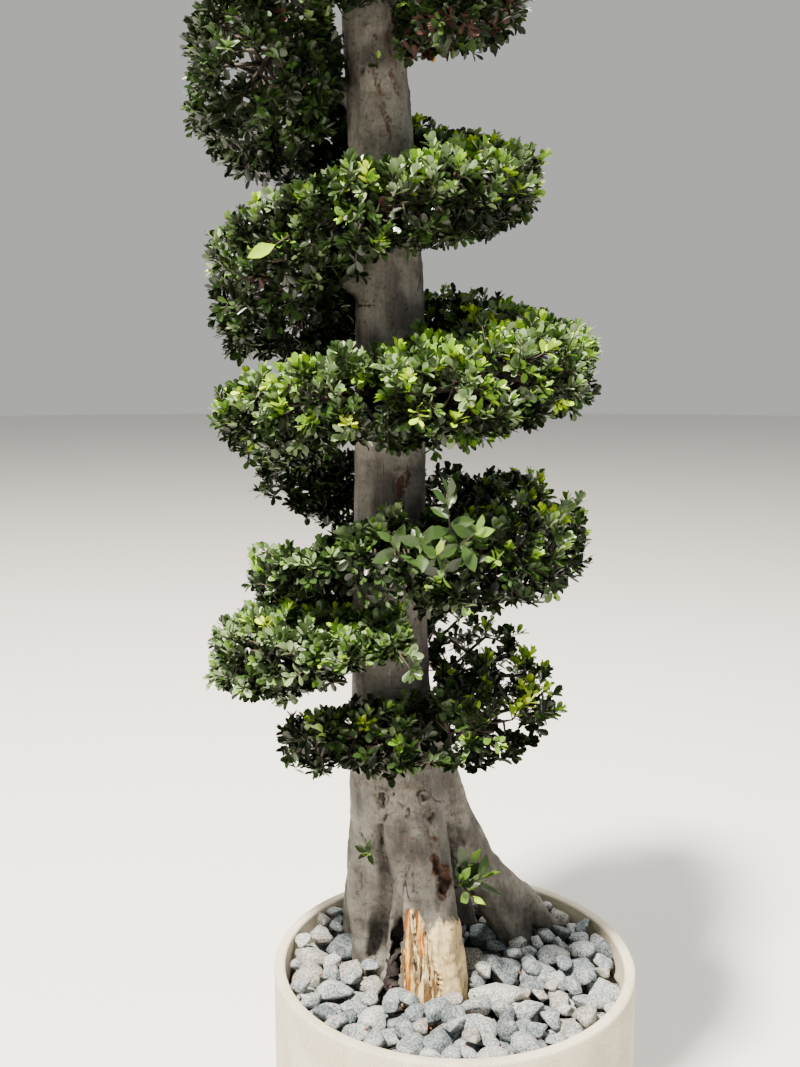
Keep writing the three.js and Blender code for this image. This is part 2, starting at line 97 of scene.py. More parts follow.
# Spiral of foliage: it crosses the front at FRONT_HEIGHT on turn 0 and climbs anticlockwise seen from above
FRONT_HEIGHT = 1.600
TURN_RISE = 0.305
FIRST_START = -0.01
CLUMP_STEP = 0.32
CLUMP_SPAN = 0.314
SQUARENESS = 3.0
END_SQUARENESS = 5.0
# The least that is left of half a room's size below its surface, and of its girth at a rounded end
LEAST_HALF = 0.01
LEAST_GIRTH = 0.02
# How far along its middle a room has wood, and how many ribs stand round each place there
WOODY_SHARE = 0.86
RIBS_ROUND = 5
# How far out ribs end, as a share of the way to the surface
RIB_REACH = 0.5
CROWN_CENTRE = np.array([-0.166, TRUNK_BACK, 2.852])
CROWN_HALF = np.array([0.152, 0.152, 0.120])


class Slot(Enum):
    """The record's material slots."""

    PLANTER = "planter"
    SOIL = "soil"
    STONE = "river_stone"
    BARK = "bark"
    FOLIAGE = "foliage"
    YOUNG = "young_foliage"


def linear(colour: str) -> tuple[float, float, float, float]:
    """Turns an sRGB hex colour to the linear values that a shader takes.

    Args:
        colour: six hex digits after a hash sign.

    Returns:
        Red, green, blue and an alpha of 1.
    """
    channels = [int(colour[start:start + 2], 16) / 255 for start in (1, 3, 5)]
    values = [c / 12.92 if c <= 0.04045 else ((c + 0.055) / 1.055) ** 2.4 for c in channels]
    return (values[0], values[1], values[2], 1.0)


def per_metre(millimetres: float) -> float:
    """The scale of a texture whose features are this many millimetres apart."""
    return 1 / (millimetres * MILLIMETRE)


def add_node(tree: bpy.types.NodeTree, kind: str, values: Mapping[str | int, Any]) -> bpy.types.Node:
    """Adds a shader node.

    Args:
        tree: the material's node tree.
        kind: the node's type, without its ShaderNode prefix.
        values: by property name, or by input name or number. A socket is linked, and a hex colour is made
            linear.

    Returns:
        The new node.
    """
    node = tree.nodes.new("ShaderNode" + kind)
    for key, value in values.items():
        if isinstance(value, bpy.types.NodeSocket):
            tree.links.new(value, node.inputs[key])
        elif isinstance(key, str) and hasattr(node, key):
            setattr(node, key, value)
        else:
            node.inputs[key].default_value = linear(value) if isinstance(value, str) else value
    return node


# Sockets of the Mix node in its colour form
FACTOR, FIRST, SECOND, MIXED = 0, 6, 7, 2
# Scale of a pattern that runs alike along all three axes
EVEN = (1.0, 1.0, 1.0)


class Shading:
    """A material while its nodes are added, with the few kinds of node that the finishes are made of."""

    def __init__(self, name: str) -> None:
        """Starts a material with no nodes but its coordinates.

        Args:
            name: the material's name.
        """
        self.made = bpy.data.materials.new(name)
        self.made.use_nodes = True
        self.tree = self.made.node_tree
        self.tree.nodes.clear()
        self.place = add_node(self.tree, "TexCoord", {}).outputs["Object"]

    def noise(
        self, apart: float, detail: float, squeeze: tuple[float, float, float] = EVEN, **others: float
    ) -> bpy.types.NodeSocket:
        """Adds a cloudy noise.

        Args:
            apart: how far apart its clouds are, in millimetres.
            detail: how many finer layers it has.
            squeeze: its scale along each axis, where less than 1 draws it out.
            others: the node's other inputs.

        Returns:
            Its value, from 0 to 1.
        """
        place = self.place
        if squeeze != EVEN:
            place = add_node(self.tree, "Mapping", {"Scale": squeeze, "Vector": place}).outputs[0]
        values = {"Scale": per_metre(apart), "Detail": detail, "Vector": place, **others}
        return add_node(self.tree, "TexNoise", values).outputs[0]

    def step(
        self, value: bpy.types.NodeSocket, low: float, high: float, to_low: float = 0.0, to_high: float = 1.0
    ) -> bpy.types.NodeSocket:
        """Adds a smooth step from one range of values to another.

        Args:
            value: what goes in.
            low: where the step starts. It may be the greater.
            high: where it ends.
            to_low: what comes out at its start.
            to_high: what comes out at its end.

        Returns:
            What comes out.
        """
        ends = {"From Min": low, "From Max": high, "To Min": to_low, "To Max": to_high}
        values = {"interpolation_type": "SMOOTHSTEP", "Value": value, **ends}
        return add_node(self.tree, "MapRange", values).outputs[0]

    def mix(
        self,
        share: float | bpy.types.NodeSocket,
        first: str | bpy.types.NodeSocket,
        second: str | bpy.types.NodeSocket,
        blend: str = "MIX",
    ) -> bpy.types.NodeSocket:
        """Mixes two colours.

        Args:
            share: how much of the second shows.
            first: a hex colour or a socket.
            second: a hex colour or a socket.
            blend: how the second lies over the first.

        Returns:
            The colour.
        """
        values = {"data_type": "RGBA", "blend_type": blend, FACTOR: share, FIRST: first, SECOND: second}
        return add_node(self.tree, "Mix", values).outputs[MIXED]

    def heaped(
        self, value: bpy.types.NodeSocket, weight: float, other: bpy.types.NodeSocket
    ) -> bpy.types.NodeSocket:
        """Adds a value, times its weight, to another."""
        values = {"operation": "MULTIPLY_ADD", 0: value, 1: weight, 2: other}
        return add_node(self.tree, "Math", values).outputs[0]

    def close(
        self,
        values: dict[str, Any],
        height: bpy.types.NodeSocket | None = None,
        strength: float = 0.0,
        depth: float = 0.0,
    ) -> bpy.types.Material:
        """Ends the material in its shader.

        Args:
            values: hex colours, numbers or sockets by the names of the shader's inputs.
            height: the relief's height, where it has a relief.
            strength: how much of the relief shows.
            depth: how deep it is, in metres.

        Returns:
            The material.
        """
        if height is not None:
            relief = {"Strength": strength, "Distance": depth, "Height": height}
            values = {**values, "Normal": add_node(self.tree, "Bump", relief).outputs[0]}
        shader = add_node(self.tree, "BsdfPrincipled", values).outputs[0]
        add_node(self.tree, "OutputMaterial", {"Surface": shader})
        return self.made


@dataclass(frozen=True)
class CastConcrete:
    """Fibre concrete cast in a smooth form: matt cream, with fine pale and dark grains and some pinholes."""

    name: str = "cast_concrete"
    body: str = "#c8c1a9"
    cloud: str = "#b6ae95"
    pale_grain: str = "#e6e0cb"
    dark_grain: str = "#857d68"
    grain_mm: float = 3.2
    cloud_mm: float = 90.0
    pinhole_mm: float = 16.0
    # Shares of that spacing at which a pinhole's floor ends and its rim starts
    pinhole: tuple[float, float] = (0.03, 0.09)
    grain_height: float = 0.25
    # Values of its noises between which the clouds, the pale grains and the dark grains come in
    clouded: tuple[float, float] = (0.35, 0.7)
    pale: tuple[float, float] = (0.6, 0.68)
    dark: tuple[float, float] = (0.36, 0.31)
    roughness: float = 0.82
    ior: float = 1.5
    # How much of the relief shows, and how deep it is in metres
    bump: tuple[float, float] = (0.5, 0.0007)

    def material(self) -> bpy.types.Material:
        """Makes the shader.

        Returns:
            The material.
        """
        nodes = Shading(self.name)
        cloud, grain = nodes.noise(self.cloud_mm, 5.0), nodes.noise(self.grain_mm, 3.0)
        colour = nodes.mix(nodes.step(cloud, *self.clouded), self.body, self.cloud)
        colour = nodes.mix(nodes.step(grain, *self.pale), colour, self.pale_grain)
        colour = nodes.mix(nodes.step(grain, *self.dark), colour, self.dark_grain)
        spacing = {"Scale": per_metre(self.pinhole_mm), "Vector": nodes.place}
        holes = add_node(nodes.tree, "TexVoronoi", spacing)
        relief = nodes.heaped(grain, self.grain_height, nodes.step(holes.outputs["Distance"], *self.pinhole))
        shader = {"Base Color": colour, "Roughness": self.roughness, "IOR": self.ior}
        return nodes.close(shader, relief, *self.bump)


@dataclass(frozen=True)
class PottingMix:
    """Potting mix of bark and peat: brown crumbs with paler fibres, both darkened nearly to black as painted
    shade in the gaps between the stones.
    """

    name: str = "potting_mix"
    # Both colours are darkened as painted shade between the stones
    peat: str = "#251f1b"
    fibre: str = "#463b31"
    crumb_mm: float = 7.0
    # Values of its noise between which the fibres come in
    fibrous: tuple[float, float] = (0.45, 0.7)
    roughness: float = 0.95
    ior: float = 1.45
    # How much of the relief shows, and how deep it is in metres
    bump: tuple[float, float] = (0.8, 0.003)

    def material(self) -> bpy.types.Material:
        """Makes the shader.

        Returns:
            The material.
        """
        nodes = Shading(self.name)
        crumb = nodes.noise(self.crumb_mm, 6.0)
        colour = nodes.mix(nodes.step(crumb, *self.fibrous), self.peat, self.fibre)
        shader = {"Base Color": colour, "Roughness": self.roughness, "IOR": self.ior}
        return nodes.close(shader, crumb, *self.bump)


class StoneTone(Enum):
    """Tones of river stone: its body colour and its pale grains."""

    ASH = ("#4f555a", "#969b9c")
    SLATE = ("#2d353a", "#666f74")
    STEEL = ("#3d474d", "#7b8488")
    SAND = ("#5a5954", "#9a978f")
    CHALK = ("#6c7070", "#b3b5b2")


@dataclass(frozen=True)
class RiverStone:
    """Andesite worn round in a river: a dry, finely pitted skin, salted with pale grains and faint veins."""

    tone: StoneTone
    grain_mm: float = 3.4
    vein_mm: float = 24.0
    grain_height: float = 0.35
    dust: str = "#b4b6b3"
    # The most that the dust hides, along a vein
    dust_share: float = 0.55
    # Values of its noises between which the pale grains and the dust come in
    salted: tuple[float, float] = (0.4, 0.62)
    dusty: tuple[float, float] = (0.5, 0.75)
    roughness: float = 0.8
    ior: float = 1.54
    # How much of the relief shows, and how deep it is in metres
    bump: tuple[float, float] = (0.7, 0.002)

    def material(self) -> bpy.types.Material:
        """Makes the shader.

        Returns:
            The material.
        """
        nodes = Shading("river_stone_" + self.tone.name.lower())
        body, salt = self.tone.value
        grain, vein = nodes.noise(self.grain_mm, 4.0), nodes.noise(self.vein_mm, 5.0, Distortion=1.2)
        colour = nodes.mix(nodes.step(grain, *self.salted), body, salt)
        colour = nodes.mix(nodes.step(vein, *self.dusty, 0.0, self.dust_share), colour, self.dust)
        shader = {"Base Color": colour, "Roughness": self.roughness, "IOR": self.ior}
        return nodes.close(shader, nodes.heaped(grain, self.grain_height, vein), *self.bump)


@dataclass(frozen=True)
class StreakedSkin:
    """A thin dry skin of a plant, whose two tones run into each other."""

    name: str
    body: str
    shade: str
    streak_mm: float
    roughness: float
    ior: float
    # How much of the relief shows, and how deep it is in metres
    bump: tuple[float, float]

    def material(self) -> bpy.types.Material:
        """Makes the shader.

        Returns:
            The material.
        """
        nodes = Shading(self.name)
        streak = nodes.noise(self.streak_mm, 2.0)
        colour = nodes.mix(streak, self.body, self.shade)
        shader = {"Base Color": colour, "Roughness": self.roughness, "IOR": self.ior}
        return nodes.close(shader, streak, *self.bump)


@dataclass(frozen=True)
class DryScale(StreakedSkin):
    """Dropped bud scales of the tree, dried to a thin papery terracotta."""

    name: str = "dry_bud_scale"
    body: str = "#7c4a36"
    shade: str = "#6f3722"
    streak_mm: float = 3.0
    roughness: float = 0.7
    ior: float = 1.45
    bump: tuple[float, float] = (0.4, 0.0004)


@dataclass(frozen=True)
class TwigBark(StreakedSkin):
    """Bark of thin twigs: brown with a green cast, and matt."""

    name: str = "twig_bark"
    body: str = "#40372b"
    shade: str = "#2a241c"
    streak_mm: float = 5.0
    roughness: float = 0.75
    ior: float = 1.47
    bump: tuple[float, float] = (0.4, 0.0006)


class BarkLayer(Enum):
    """Named places on the trunk, held by the mesh as values from 0 to 1."""

    WOUND = "wound"
    AMBER = "amber"
    # Painted shade in pits, cavities, gaps, folds, cracks and grooves, with some real dark marks
    HOLLOW = "hollow"
    CRUST = "crust"
    RUST = "rust"
    # The pale tan callus, partly painted sunlight on the bark beside the peeled wood
    TAN = "tan"


@dataclass(frozen=True)
class FigBark:
    """Smooth bark of a fig: thin and grey-beige, with clouded patches, upright cracks and level wrinkles.

    Where it is gone, the bare wood is tan and cream, weathered to amber strips, with painted shade in its
    hollows. The pale tan patch beside it is partly callus and partly painted sunlight.
    """

    name: str = "fig_bark"
    # These bark tones are darkened below the bark's own colour, partly as painted shade from the foliage over
    # the trunk
    body: str = "#595650"
    pale: str = "#76736b"
    shade: str = "#3f3c37"
    warm: str = "#574c40"
    crack: str = "#2c2620"
    crust: str = "#4b3a2e"
    rust: str = "#452a18"
    # Pale tan of the callus patch, which also paints sunlight on the bark beside the peeled wood
    tan: str = "#dcc28c"
    wood: str = "#ead49c"
    wood_grain: str = "#705430"
    amber: str = "#8a4c08"
    honey: str = "#ecb048"
    # Near black, for painted shade in hollows, gaps, folds, cracks and grooves, and for dark marks
    dark: str = "#1b1410"
    cloud_mm: float = 70.0
    streak_mm: float = 16.0
    crack_mm: float = 9.0
    wrinkle_mm: float = 14.0
    # The real skin is finer, with grains and flecks under a millimetre, which would not show
    grain_mm: float = 5.0
    fleck_mm: float = 7.0
    wood_grain_mm: float = 5.0
    # How its patterns are drawn out: streaks and cracks up the trunk, wrinkles and flecks round it
    upright: tuple[float, float, float] = (1.0, 1.0, 0.16)
    level: tuple[float, float, float] = (0.25, 0.25, 1.0)
    fleck_run: tuple[float, float, float] = (0.6, 0.6, 1.0)
    grain_run: tuple[float, float, float] = (1.0, 1.0, 0.45)
    fray_run: tuple[float, float, float] = (1.0, 1.0, 0.5)
    wood_run: tuple[float, float, float] = (1.0, 1.0, 0.07)
    # The most that warm wrinkles, cracks and flecks hide
    warm_share: float = 0.6
    crack_share: float = 0.6
    fleck_share: float = 0.55
    # How far apart the teeth are at the frayed edges of its patches, and how far they reach
    fray_mm: float = 7.0
    fray: float = 1.6
    roughness: float = 0.74
    # How much rougher or smoother it is along a streak
    wear: float = 0.1
    # Values of its noises between which each comes in: the body over the shade, the pale clouds, the warm
    # wrinkles, the cracks and the flecks, then the pale grain of the bare wood and the worn streaks
    bodied: tuple[float, float] = (0.36, 0.66)
    clouded: tuple[float, float] = (0.38, 0.62)
    wrinkled: tuple[float, float] = (0.52, 0.72)
    cracked: tuple[float, float] = (0.355, 0.3)
    flecked: tuple[float, float] = (0.6, 0.68)
    grained: tuple[float, float] = (0.42, 0.64)
    worn: tuple[float, float] = (0.3, 0.7)
    # How strongly the skin's grains show in its colour
    grain_share: float = 0.8
    # How high wrinkles, the wood's grain, the skin's grains and cracks stand, where a streak's height is 1
    heights: tuple[float, float, float, float] = (0.6, 0.5, 0.7, -1.0)
    ior: float = 1.48
    # How much of the relief shows, and how deep it is in metres
    bump: tuple[float, float] = (0.8, 0.002)

    def material(self) -> bpy.types.Material:
        """Makes the shader.

        Returns:
            The material.
        """
        nodes = Shading(self.name)
        cloud = nodes.noise(self.cloud_mm, 5.0)
        streak = nodes.noise(self.streak_mm, 6.0, self.upright)
        cracks = nodes.noise(self.crack_mm, 3.0, self.upright, Distortion=0.6)
        wrinkle = nodes.noise(self.wrinkle_mm, 4.0, self.level)
        fleck = nodes.noise(self.fleck_mm, 3.0, self.fleck_run)
        skin = nodes.noise(self.grain_mm, 6.0, self.grain_run, Roughness=0.65)
        frayed = nodes.noise(self.fray_mm, 5.0, self.fray_run, Roughness=0.6)
        grain = nodes.noise(self.wood_grain_mm, 5.0, self.wood_run)
        cracked = nodes.step(cracks, *self.cracked, 0.0, self.crack_share)
        layers = {layer: self.layer(nodes, layer, frayed) for layer in BarkLayer}
        colour = nodes.mix(nodes.step(streak, *self.bodied), self.shade, self.body)
        for share, hue in (
            (nodes.step(cloud, *self.clouded), self.pale),
            (nodes.step(wrinkle, *self.wrinkled, 0.0, self.warm_share), self.warm),
            (cracked, self.crack),
            (nodes.step(fleck, *self.flecked, 0.0, self.fleck_share), self.crack),
            # The tan callus patch, partly painted sunlight
            (layers[BarkLayer.TAN], self.tan),
            (layers[BarkLayer.CRUST], self.crust),
            (layers[BarkLayer.RUST], self.rust),
        ):
            colour = nodes.mix(share, colour, hue)
        colour = nodes.mix(self.grain_share, colour, skin, "OVERLAY")
        grained = nodes.step(grain, *self.grained)
        wood = nodes.mix(grained, self.wood_grain, self.wood)
        strip = nodes.mix(grained, self.amber, self.honey)
        wood = nodes.mix(layers[BarkLayer.AMBER], wood, strip)
        colour = nodes.mix(layers[BarkLayer.WOUND], colour, wood)
        # Painted shade in the recesses, and a few dark marks, from the mesh's dark layer
        colour = nodes.mix(layers[BarkLayer.HOLLOW], colour, self.dark)
        relief = streak
        for pattern, height in zip((wrinkle, grain, skin, cracked), self.heights):
            relief = nodes.heaped(pattern, height, relief)
        worn = nodes.step(streak, *self.worn, self.roughness - self.wear, self.roughness + self.wear)
        return nodes.close({"Base Color": colour, "Roughness": worn, "IOR": self.ior}, relief, *self.bump)

    def layer(self, nodes: Shading, layer: BarkLayer, frayed: bpy.types.NodeSocket) -> bpy.types.NodeSocket:
        """Gives one layer of the mesh, broken up into flecks where it is thin.

        Args:
            nodes: the material's nodes.
            layer: which layer.
            frayed: a noise, to fray its edges.

        Returns:
            The socket with its share, from 0 to 1.
        """
        held = add_node(nodes.tree, "Attribute", {"attribute_name": layer.value}).outputs["Fac"]
        even = 0.5 * self.fray
        return nodes.step(nodes.heaped(frayed, self.fray, held), even + 0.25, even + 0.75)


class LeafTone(Enum):
    """Tones of leaf: a dark green of painted shade, the mature green, a pale grey-green of painted waxy
    sheen, the young greens from the older to the youngest, and the few dry ones. Each is a plain colour.
    """

    # Painted shade
    DEEP = "#16220d"
    MATURE = "#2c4319"
    # Pale, with a painted waxy sheen
    WAXED = "#6e8459"
    FRESH = "#648a2a"
    LIME = "#93b716"
    TIP = "#c2d938"
    DRY = "#38211b"
    AMBER = "#b9762c"

    @property
    def number(self) -> int:
        """Its place among the tones, which is its finish number."""
        return list(LeafTone).index(self)


@dataclass(frozen=True)
class FigLeaf:
    """Leathery leaf of a small-leaved fig: a waxed, glossy skin that is lightly pebbled between its veins."""

    tone: LeafTone
    pebble_mm: float = 3.0
    roughness: float = 0.42
    dry_roughness: float = 0.7
    sheen_level: float = 0.3
    wax_sheen: float = 0.3
    wax_roughness: float = 0.2
    ior: float = 1.45
    # How much of the relief shows, and how deep it is in metres
    bump: tuple[float, float] = (0.25, 0.0005)

    def material(self) -> bpy.types.Material:
        """Makes the shader.

        Returns:
            The material.
        """
        nodes = Shading("fig_leaf_" + self.tone.name.lower())
        dry = self.tone in (LeafTone.DRY, LeafTone.AMBER)
        shader = {
            "Base Color": self.tone.value,
            "Roughness": self.dry_roughness if dry else self.roughness,
            "Specular IOR Level": self.sheen_level,
            "IOR": self.ior,
            "Coat Weight": 0.0 if dry else self.wax_sheen,
            "Coat Roughness": self.wax_roughness,
        }
        return nodes.close(shader, nodes.noise(self.pebble_mm, 2.0), *self.bump)


# Large numbers that spread a lattice's cells and the seeds, and shifts and numbers that mix their bits
CELL_SPREAD = (73856093, 19349663, 83492791)
SEED_SPREAD = 2654435761
BIT_MIXES = ((15, 2246822519), (13, 3266489917))
LAST_SHIFT = 16


def hashed(cell: np.ndarray, seed: int) -> np.ndarray:
    """Random values from -1 to 1 for whole-number cells of a lattice.

    Args:
        cell: whole numbers, three to a row.
        seed: which set of values to give.

    Returns:
        One value for each row.
    """
    mask = 0xFFFFFFFF
    mixed = (np.bitwise_xor.reduce(cell * CELL_SPREAD, axis=1) ^ (seed * SEED_SPREAD)) & mask
    for shift, spread in BIT_MIXES:
        mixed = ((mixed ^ (mixed >> shift)) * spread) & mask
    return (mixed ^ (mixed >> LAST_SHIFT)) / 2**31 - 1.0


def rough(points: np.ndarray, size: float | Iterable[float], seed: int = 0) -> np.ndarray:
    """Smooth random relief.

    Args:
        points: where to read it, three numbers to a row.
        size: how far apart its bumps are, for all directions or for each.
        seed: which relief.

    Returns:
        One value from -1 to 1 for each point.
    """
    scaled = points / np.broadcast_to(np.asarray(size, float), 3)
    base = np.floor(scaled)
    share = scaled - base
    share = share * share * (3 - 2 * share)
    cell = base.astype(np.int64)
    total = np.zeros(len(points))
    for corner in np.ndindex(2, 2, 2):
        weight = np.prod(np.where(np.array(corner), share, 1 - share), axis=1)
        total += weight * hashed(cell + np.array(corner), seed)
    return total


def smooth_step(values: np.ndarray, low: float, high: float) -> np.ndarray:
    """A smooth rise.

    Args:
        values: what goes in.
        low: the value that gives 0. It may be the greater.
        high: the value that gives 1.

    Returns:
        Shares from 0 to 1.
    """
    share = np.clip((values - low) / (high - low), 0, 1)
    return share * share * (3 - 2 * share)


def unit(vectors: np.ndarray) -> np.ndarray:
    """Vectors of length 1 along the last axis."""
    return vectors / np.maximum(np.linalg.norm(vectors, axis=-1, keepdims=True), 1e-9)


def add_object(name: str, data: bpy.types.ID) -> bpy.types.Object:
    """Adds an object to the scene.

    Args:
        name: the object's name.
        data: its mesh, light or camera.

    Returns:
        The object.
    """
    thing = bpy.data.objects.new(name, data)
    bpy.context.scene.collection.objects.link(thing)
    return thing


def triangle_mesh(
    name: str, vertices: np.ndarray, triangles: np.ndarray, finish_index: np.ndarray | None = None
) -> bpy.types.Object:
    """Makes a smooth-shaded object of triangles.

    Args:
        name: the piece's name.
        vertices: three numbers to a row.
        triangles: three vertex numbers to a row.
        finish_index: which of the piece's finishes each triangle has.

    Returns:
        The object, linked to the scene.
    """
    mesh = bpy.data.meshes.new(name)
    mesh.vertices.add(len(vertices))
    mesh.vertices.foreach_set("co", np.ascontiguousarray(vertices, np.float32).ravel())
    mesh.loops.add(triangles.size)
    mesh.loops.foreach_set("vertex_index", np.ascontiguousarray(triangles, np.int32).ravel())
    mesh.polygons.add(len(triangles))
    mesh.polygons.foreach_set("loop_start", np.arange(0, triangles.size, 3, dtype=np.int32))
    if finish_index is not None:
        mesh.polygons.foreach_set("material_index", np.ascontiguousarray(finish_index, np.int32))
    mesh.update(calc_edges=True)
    mesh.shade_smooth()
    return add_object(name, mesh)


def seat(piece: bpy.types.Object, finishes: Iterable[bpy.types.Material], slot: Slot, *nodes: str) -> None:
    """Dresses a piece and makes it ride on the tree's one body, in place of CAD nodes.

    Args:
        piece: the piece.
        finishes: its materials, in the order of its finish numbers.
        slot: the material slot meant for the piece's finish; not used.
        nodes: the nodes that it stands for.
    """
    for finish in finishes:
        piece.data.materials.append(finish)
    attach(piece, BODY)
    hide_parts(*nodes)
    LOG.info("%s: %d faces, for %s", piece.name, len(piece.data.polygons), ", ".join(nodes))


def revolved(profile: np.ndarray, sides: int) -> tuple[np.ndarray, np.ndarray]:
    """Turns a closed profile about the vertical axis.

    Args:
        profile: radius and height, anticlockwise seen with the axis at the left. Its ends lie on the axis.
        sides: how many faces go round.

    Returns:
        Vertices and triangles.
    """
    angles = TAU * np.arange(sides) / sides
    rings = profile[1:-1]
    count = len(rings)
    x = rings[:, 0, None] * np.cos(angles)
    y = rings[:, 0, None] * np.sin(angles)
    z = np.broadcast_to(rings[:, 1, None], x.shape)
    vertices = np.stack([x, y, z], axis=-1).reshape(-1, 3)
    ends = np.array([[0, 0, profile[0, 1]], [0, 0, profile[-1, 1]]])
    this = np.arange(sides)
    following = (this + 1) % sides
    triangles = []
    for ring in range(count - 1):
        low, high = ring * sides, (ring + 1) * sides
        triangles.append(np.stack([low + this, low + following, high + following], axis=1))
        triangles.append(np.stack([low + this, high + following, high + this], axis=1))
    first, last = count * sides, count * sides + 1
    triangles.append(np.stack([np.full(sides, first), following, this], axis=1))
    top = (count - 1) * sides
    triangles.append(np.stack([np.full(sides, last), top + this, top + following], axis=1))
    return np.concatenate([vertices, ends]), np.concatenate(triangles)


@dataclass
class Planter:
    """The round pot of cast concrete, with a rounded rim and a body a little uneven, as castings are."""

    radius: float = POT_RADIUS
    height: float = POT_HEIGHT
    wall: float = POT_WALL
    floor: float = POT_FLOOR
    edge: float = 0.006
    edge_steps: int = 5
    wall_steps: int = 24
    sides: int = 168
    unevenness: float = 0.0007
    # How far apart its swells and its ripples are, and below what height they fade out
    swell: float = 0.09
    ripple: float = 0.02
    even_below: float = 0.03

    def profile(self) -> np.ndarray:
        """The pot's profile, up the outside and down the inside.

        Returns:
            Radius and height of its points, from the middle of the underside to the middle of the floor.
        """
        outer, inner, top = self.radius, self.radius - self.wall, self.height - self.edge
        heights = np.linspace(self.edge, top, self.wall_steps)[1:-1]
        points = [(0.0, 0.0), *self.arc(outer - self.edge, self.edge, -0.25)]
        points += [(outer, height) for height in heights]
        points += [*self.arc(outer - self.edge, top, 0.0), *self.arc(inner + self.edge, top, 0.25)]
        points += [(inner, self.floor), (0.0, self.floor)]
        return np.array(points)

    def arc(self, radius: float, height: float, start: float) -> list[tuple[float, float]]:
        """A quarter round of the profile.

        Args:
            radius: how far out its centre is.
            height: how high its centre is.
            start: where it starts, in turns from straight out.

        Returns:
            Its points.
        """
        angles = TAU * (start + np.linspace(0, 0.25, self.edge_steps))
        return [(radius + self.edge * math.cos(a), height + self.edge * math.sin(a)) for a in angles]

    def build(self) -> None:
        """Builds the pot with its slight unevenness."""
        vertices, triangles = revolved(self.profile(), self.sides)
        outward = unit(vertices * np.array([1.0, 1.0, 0.0]))
        uneven = rough(vertices, self.swell, 1) + 0.5 * rough(vertices, self.ripple, 2) - 1.0
        free = smooth_step(vertices[:, 2], 0.0, self.even_below)
        vertices = vertices + outward * (uneven * free * self.unevenness)[:, None]
        seat(triangle_mesh("planter", vertices, triangles), [CastConcrete().material()], Slot.PLANTER, "pot")


@dataclass
class Soil:
    """The potting mix below the stones, level with small lumps."""

    radius: float = POT_RADIUS - POT_WALL - 0.001
    bottom: float = POT_FLOOR + 0.001
    top: float = SOIL_TOP
    # How high its lumps are, and how far apart the large ones and the small ones
    lump: float = 0.003
    large: float = 0.03
    small: float = 0.011
    sides: int = 72
    rings: int = 22

    def build(self) -> None:
        """Builds the soil as one closed body."""
        surface = [(radius, self.top) for radius in np.linspace(self.radius, 0.0, self.rings)]
        profile = np.array([(0.0, self.bottom), (self.radius, self.bottom), *surface])
        vertices, triangles = revolved(profile, self.sides)
        loose = smooth_step(vertices[:, 2], self.bottom, self.top)
        lumps = rough(vertices, self.large, 3) + 0.5 * rough(vertices, self.small, 4)
        vertices[:, 2] += loose * self.lump * lumps
        seat(triangle_mesh("potting_soil", vertices, triangles), [PottingMix().material()], Slot.SOIL, "soil")


def spun(turn: float, tilt: np.ndarray) -> np.ndarray:
    """The matrix of a turn about Z after two tilts, the first about X and the second about Y.

    Args:
        turn: the turn, in radians.
        tilt: the two tilts, in radians.

    Returns:
        Three rows of three.
    """
    spin = Matrix.Rotation(turn, 3, "Z") @ Matrix.Rotation(tilt[0], 3, "X") @ Matrix.Rotation(tilt[1], 3, "Y")
    return np.array(spin)


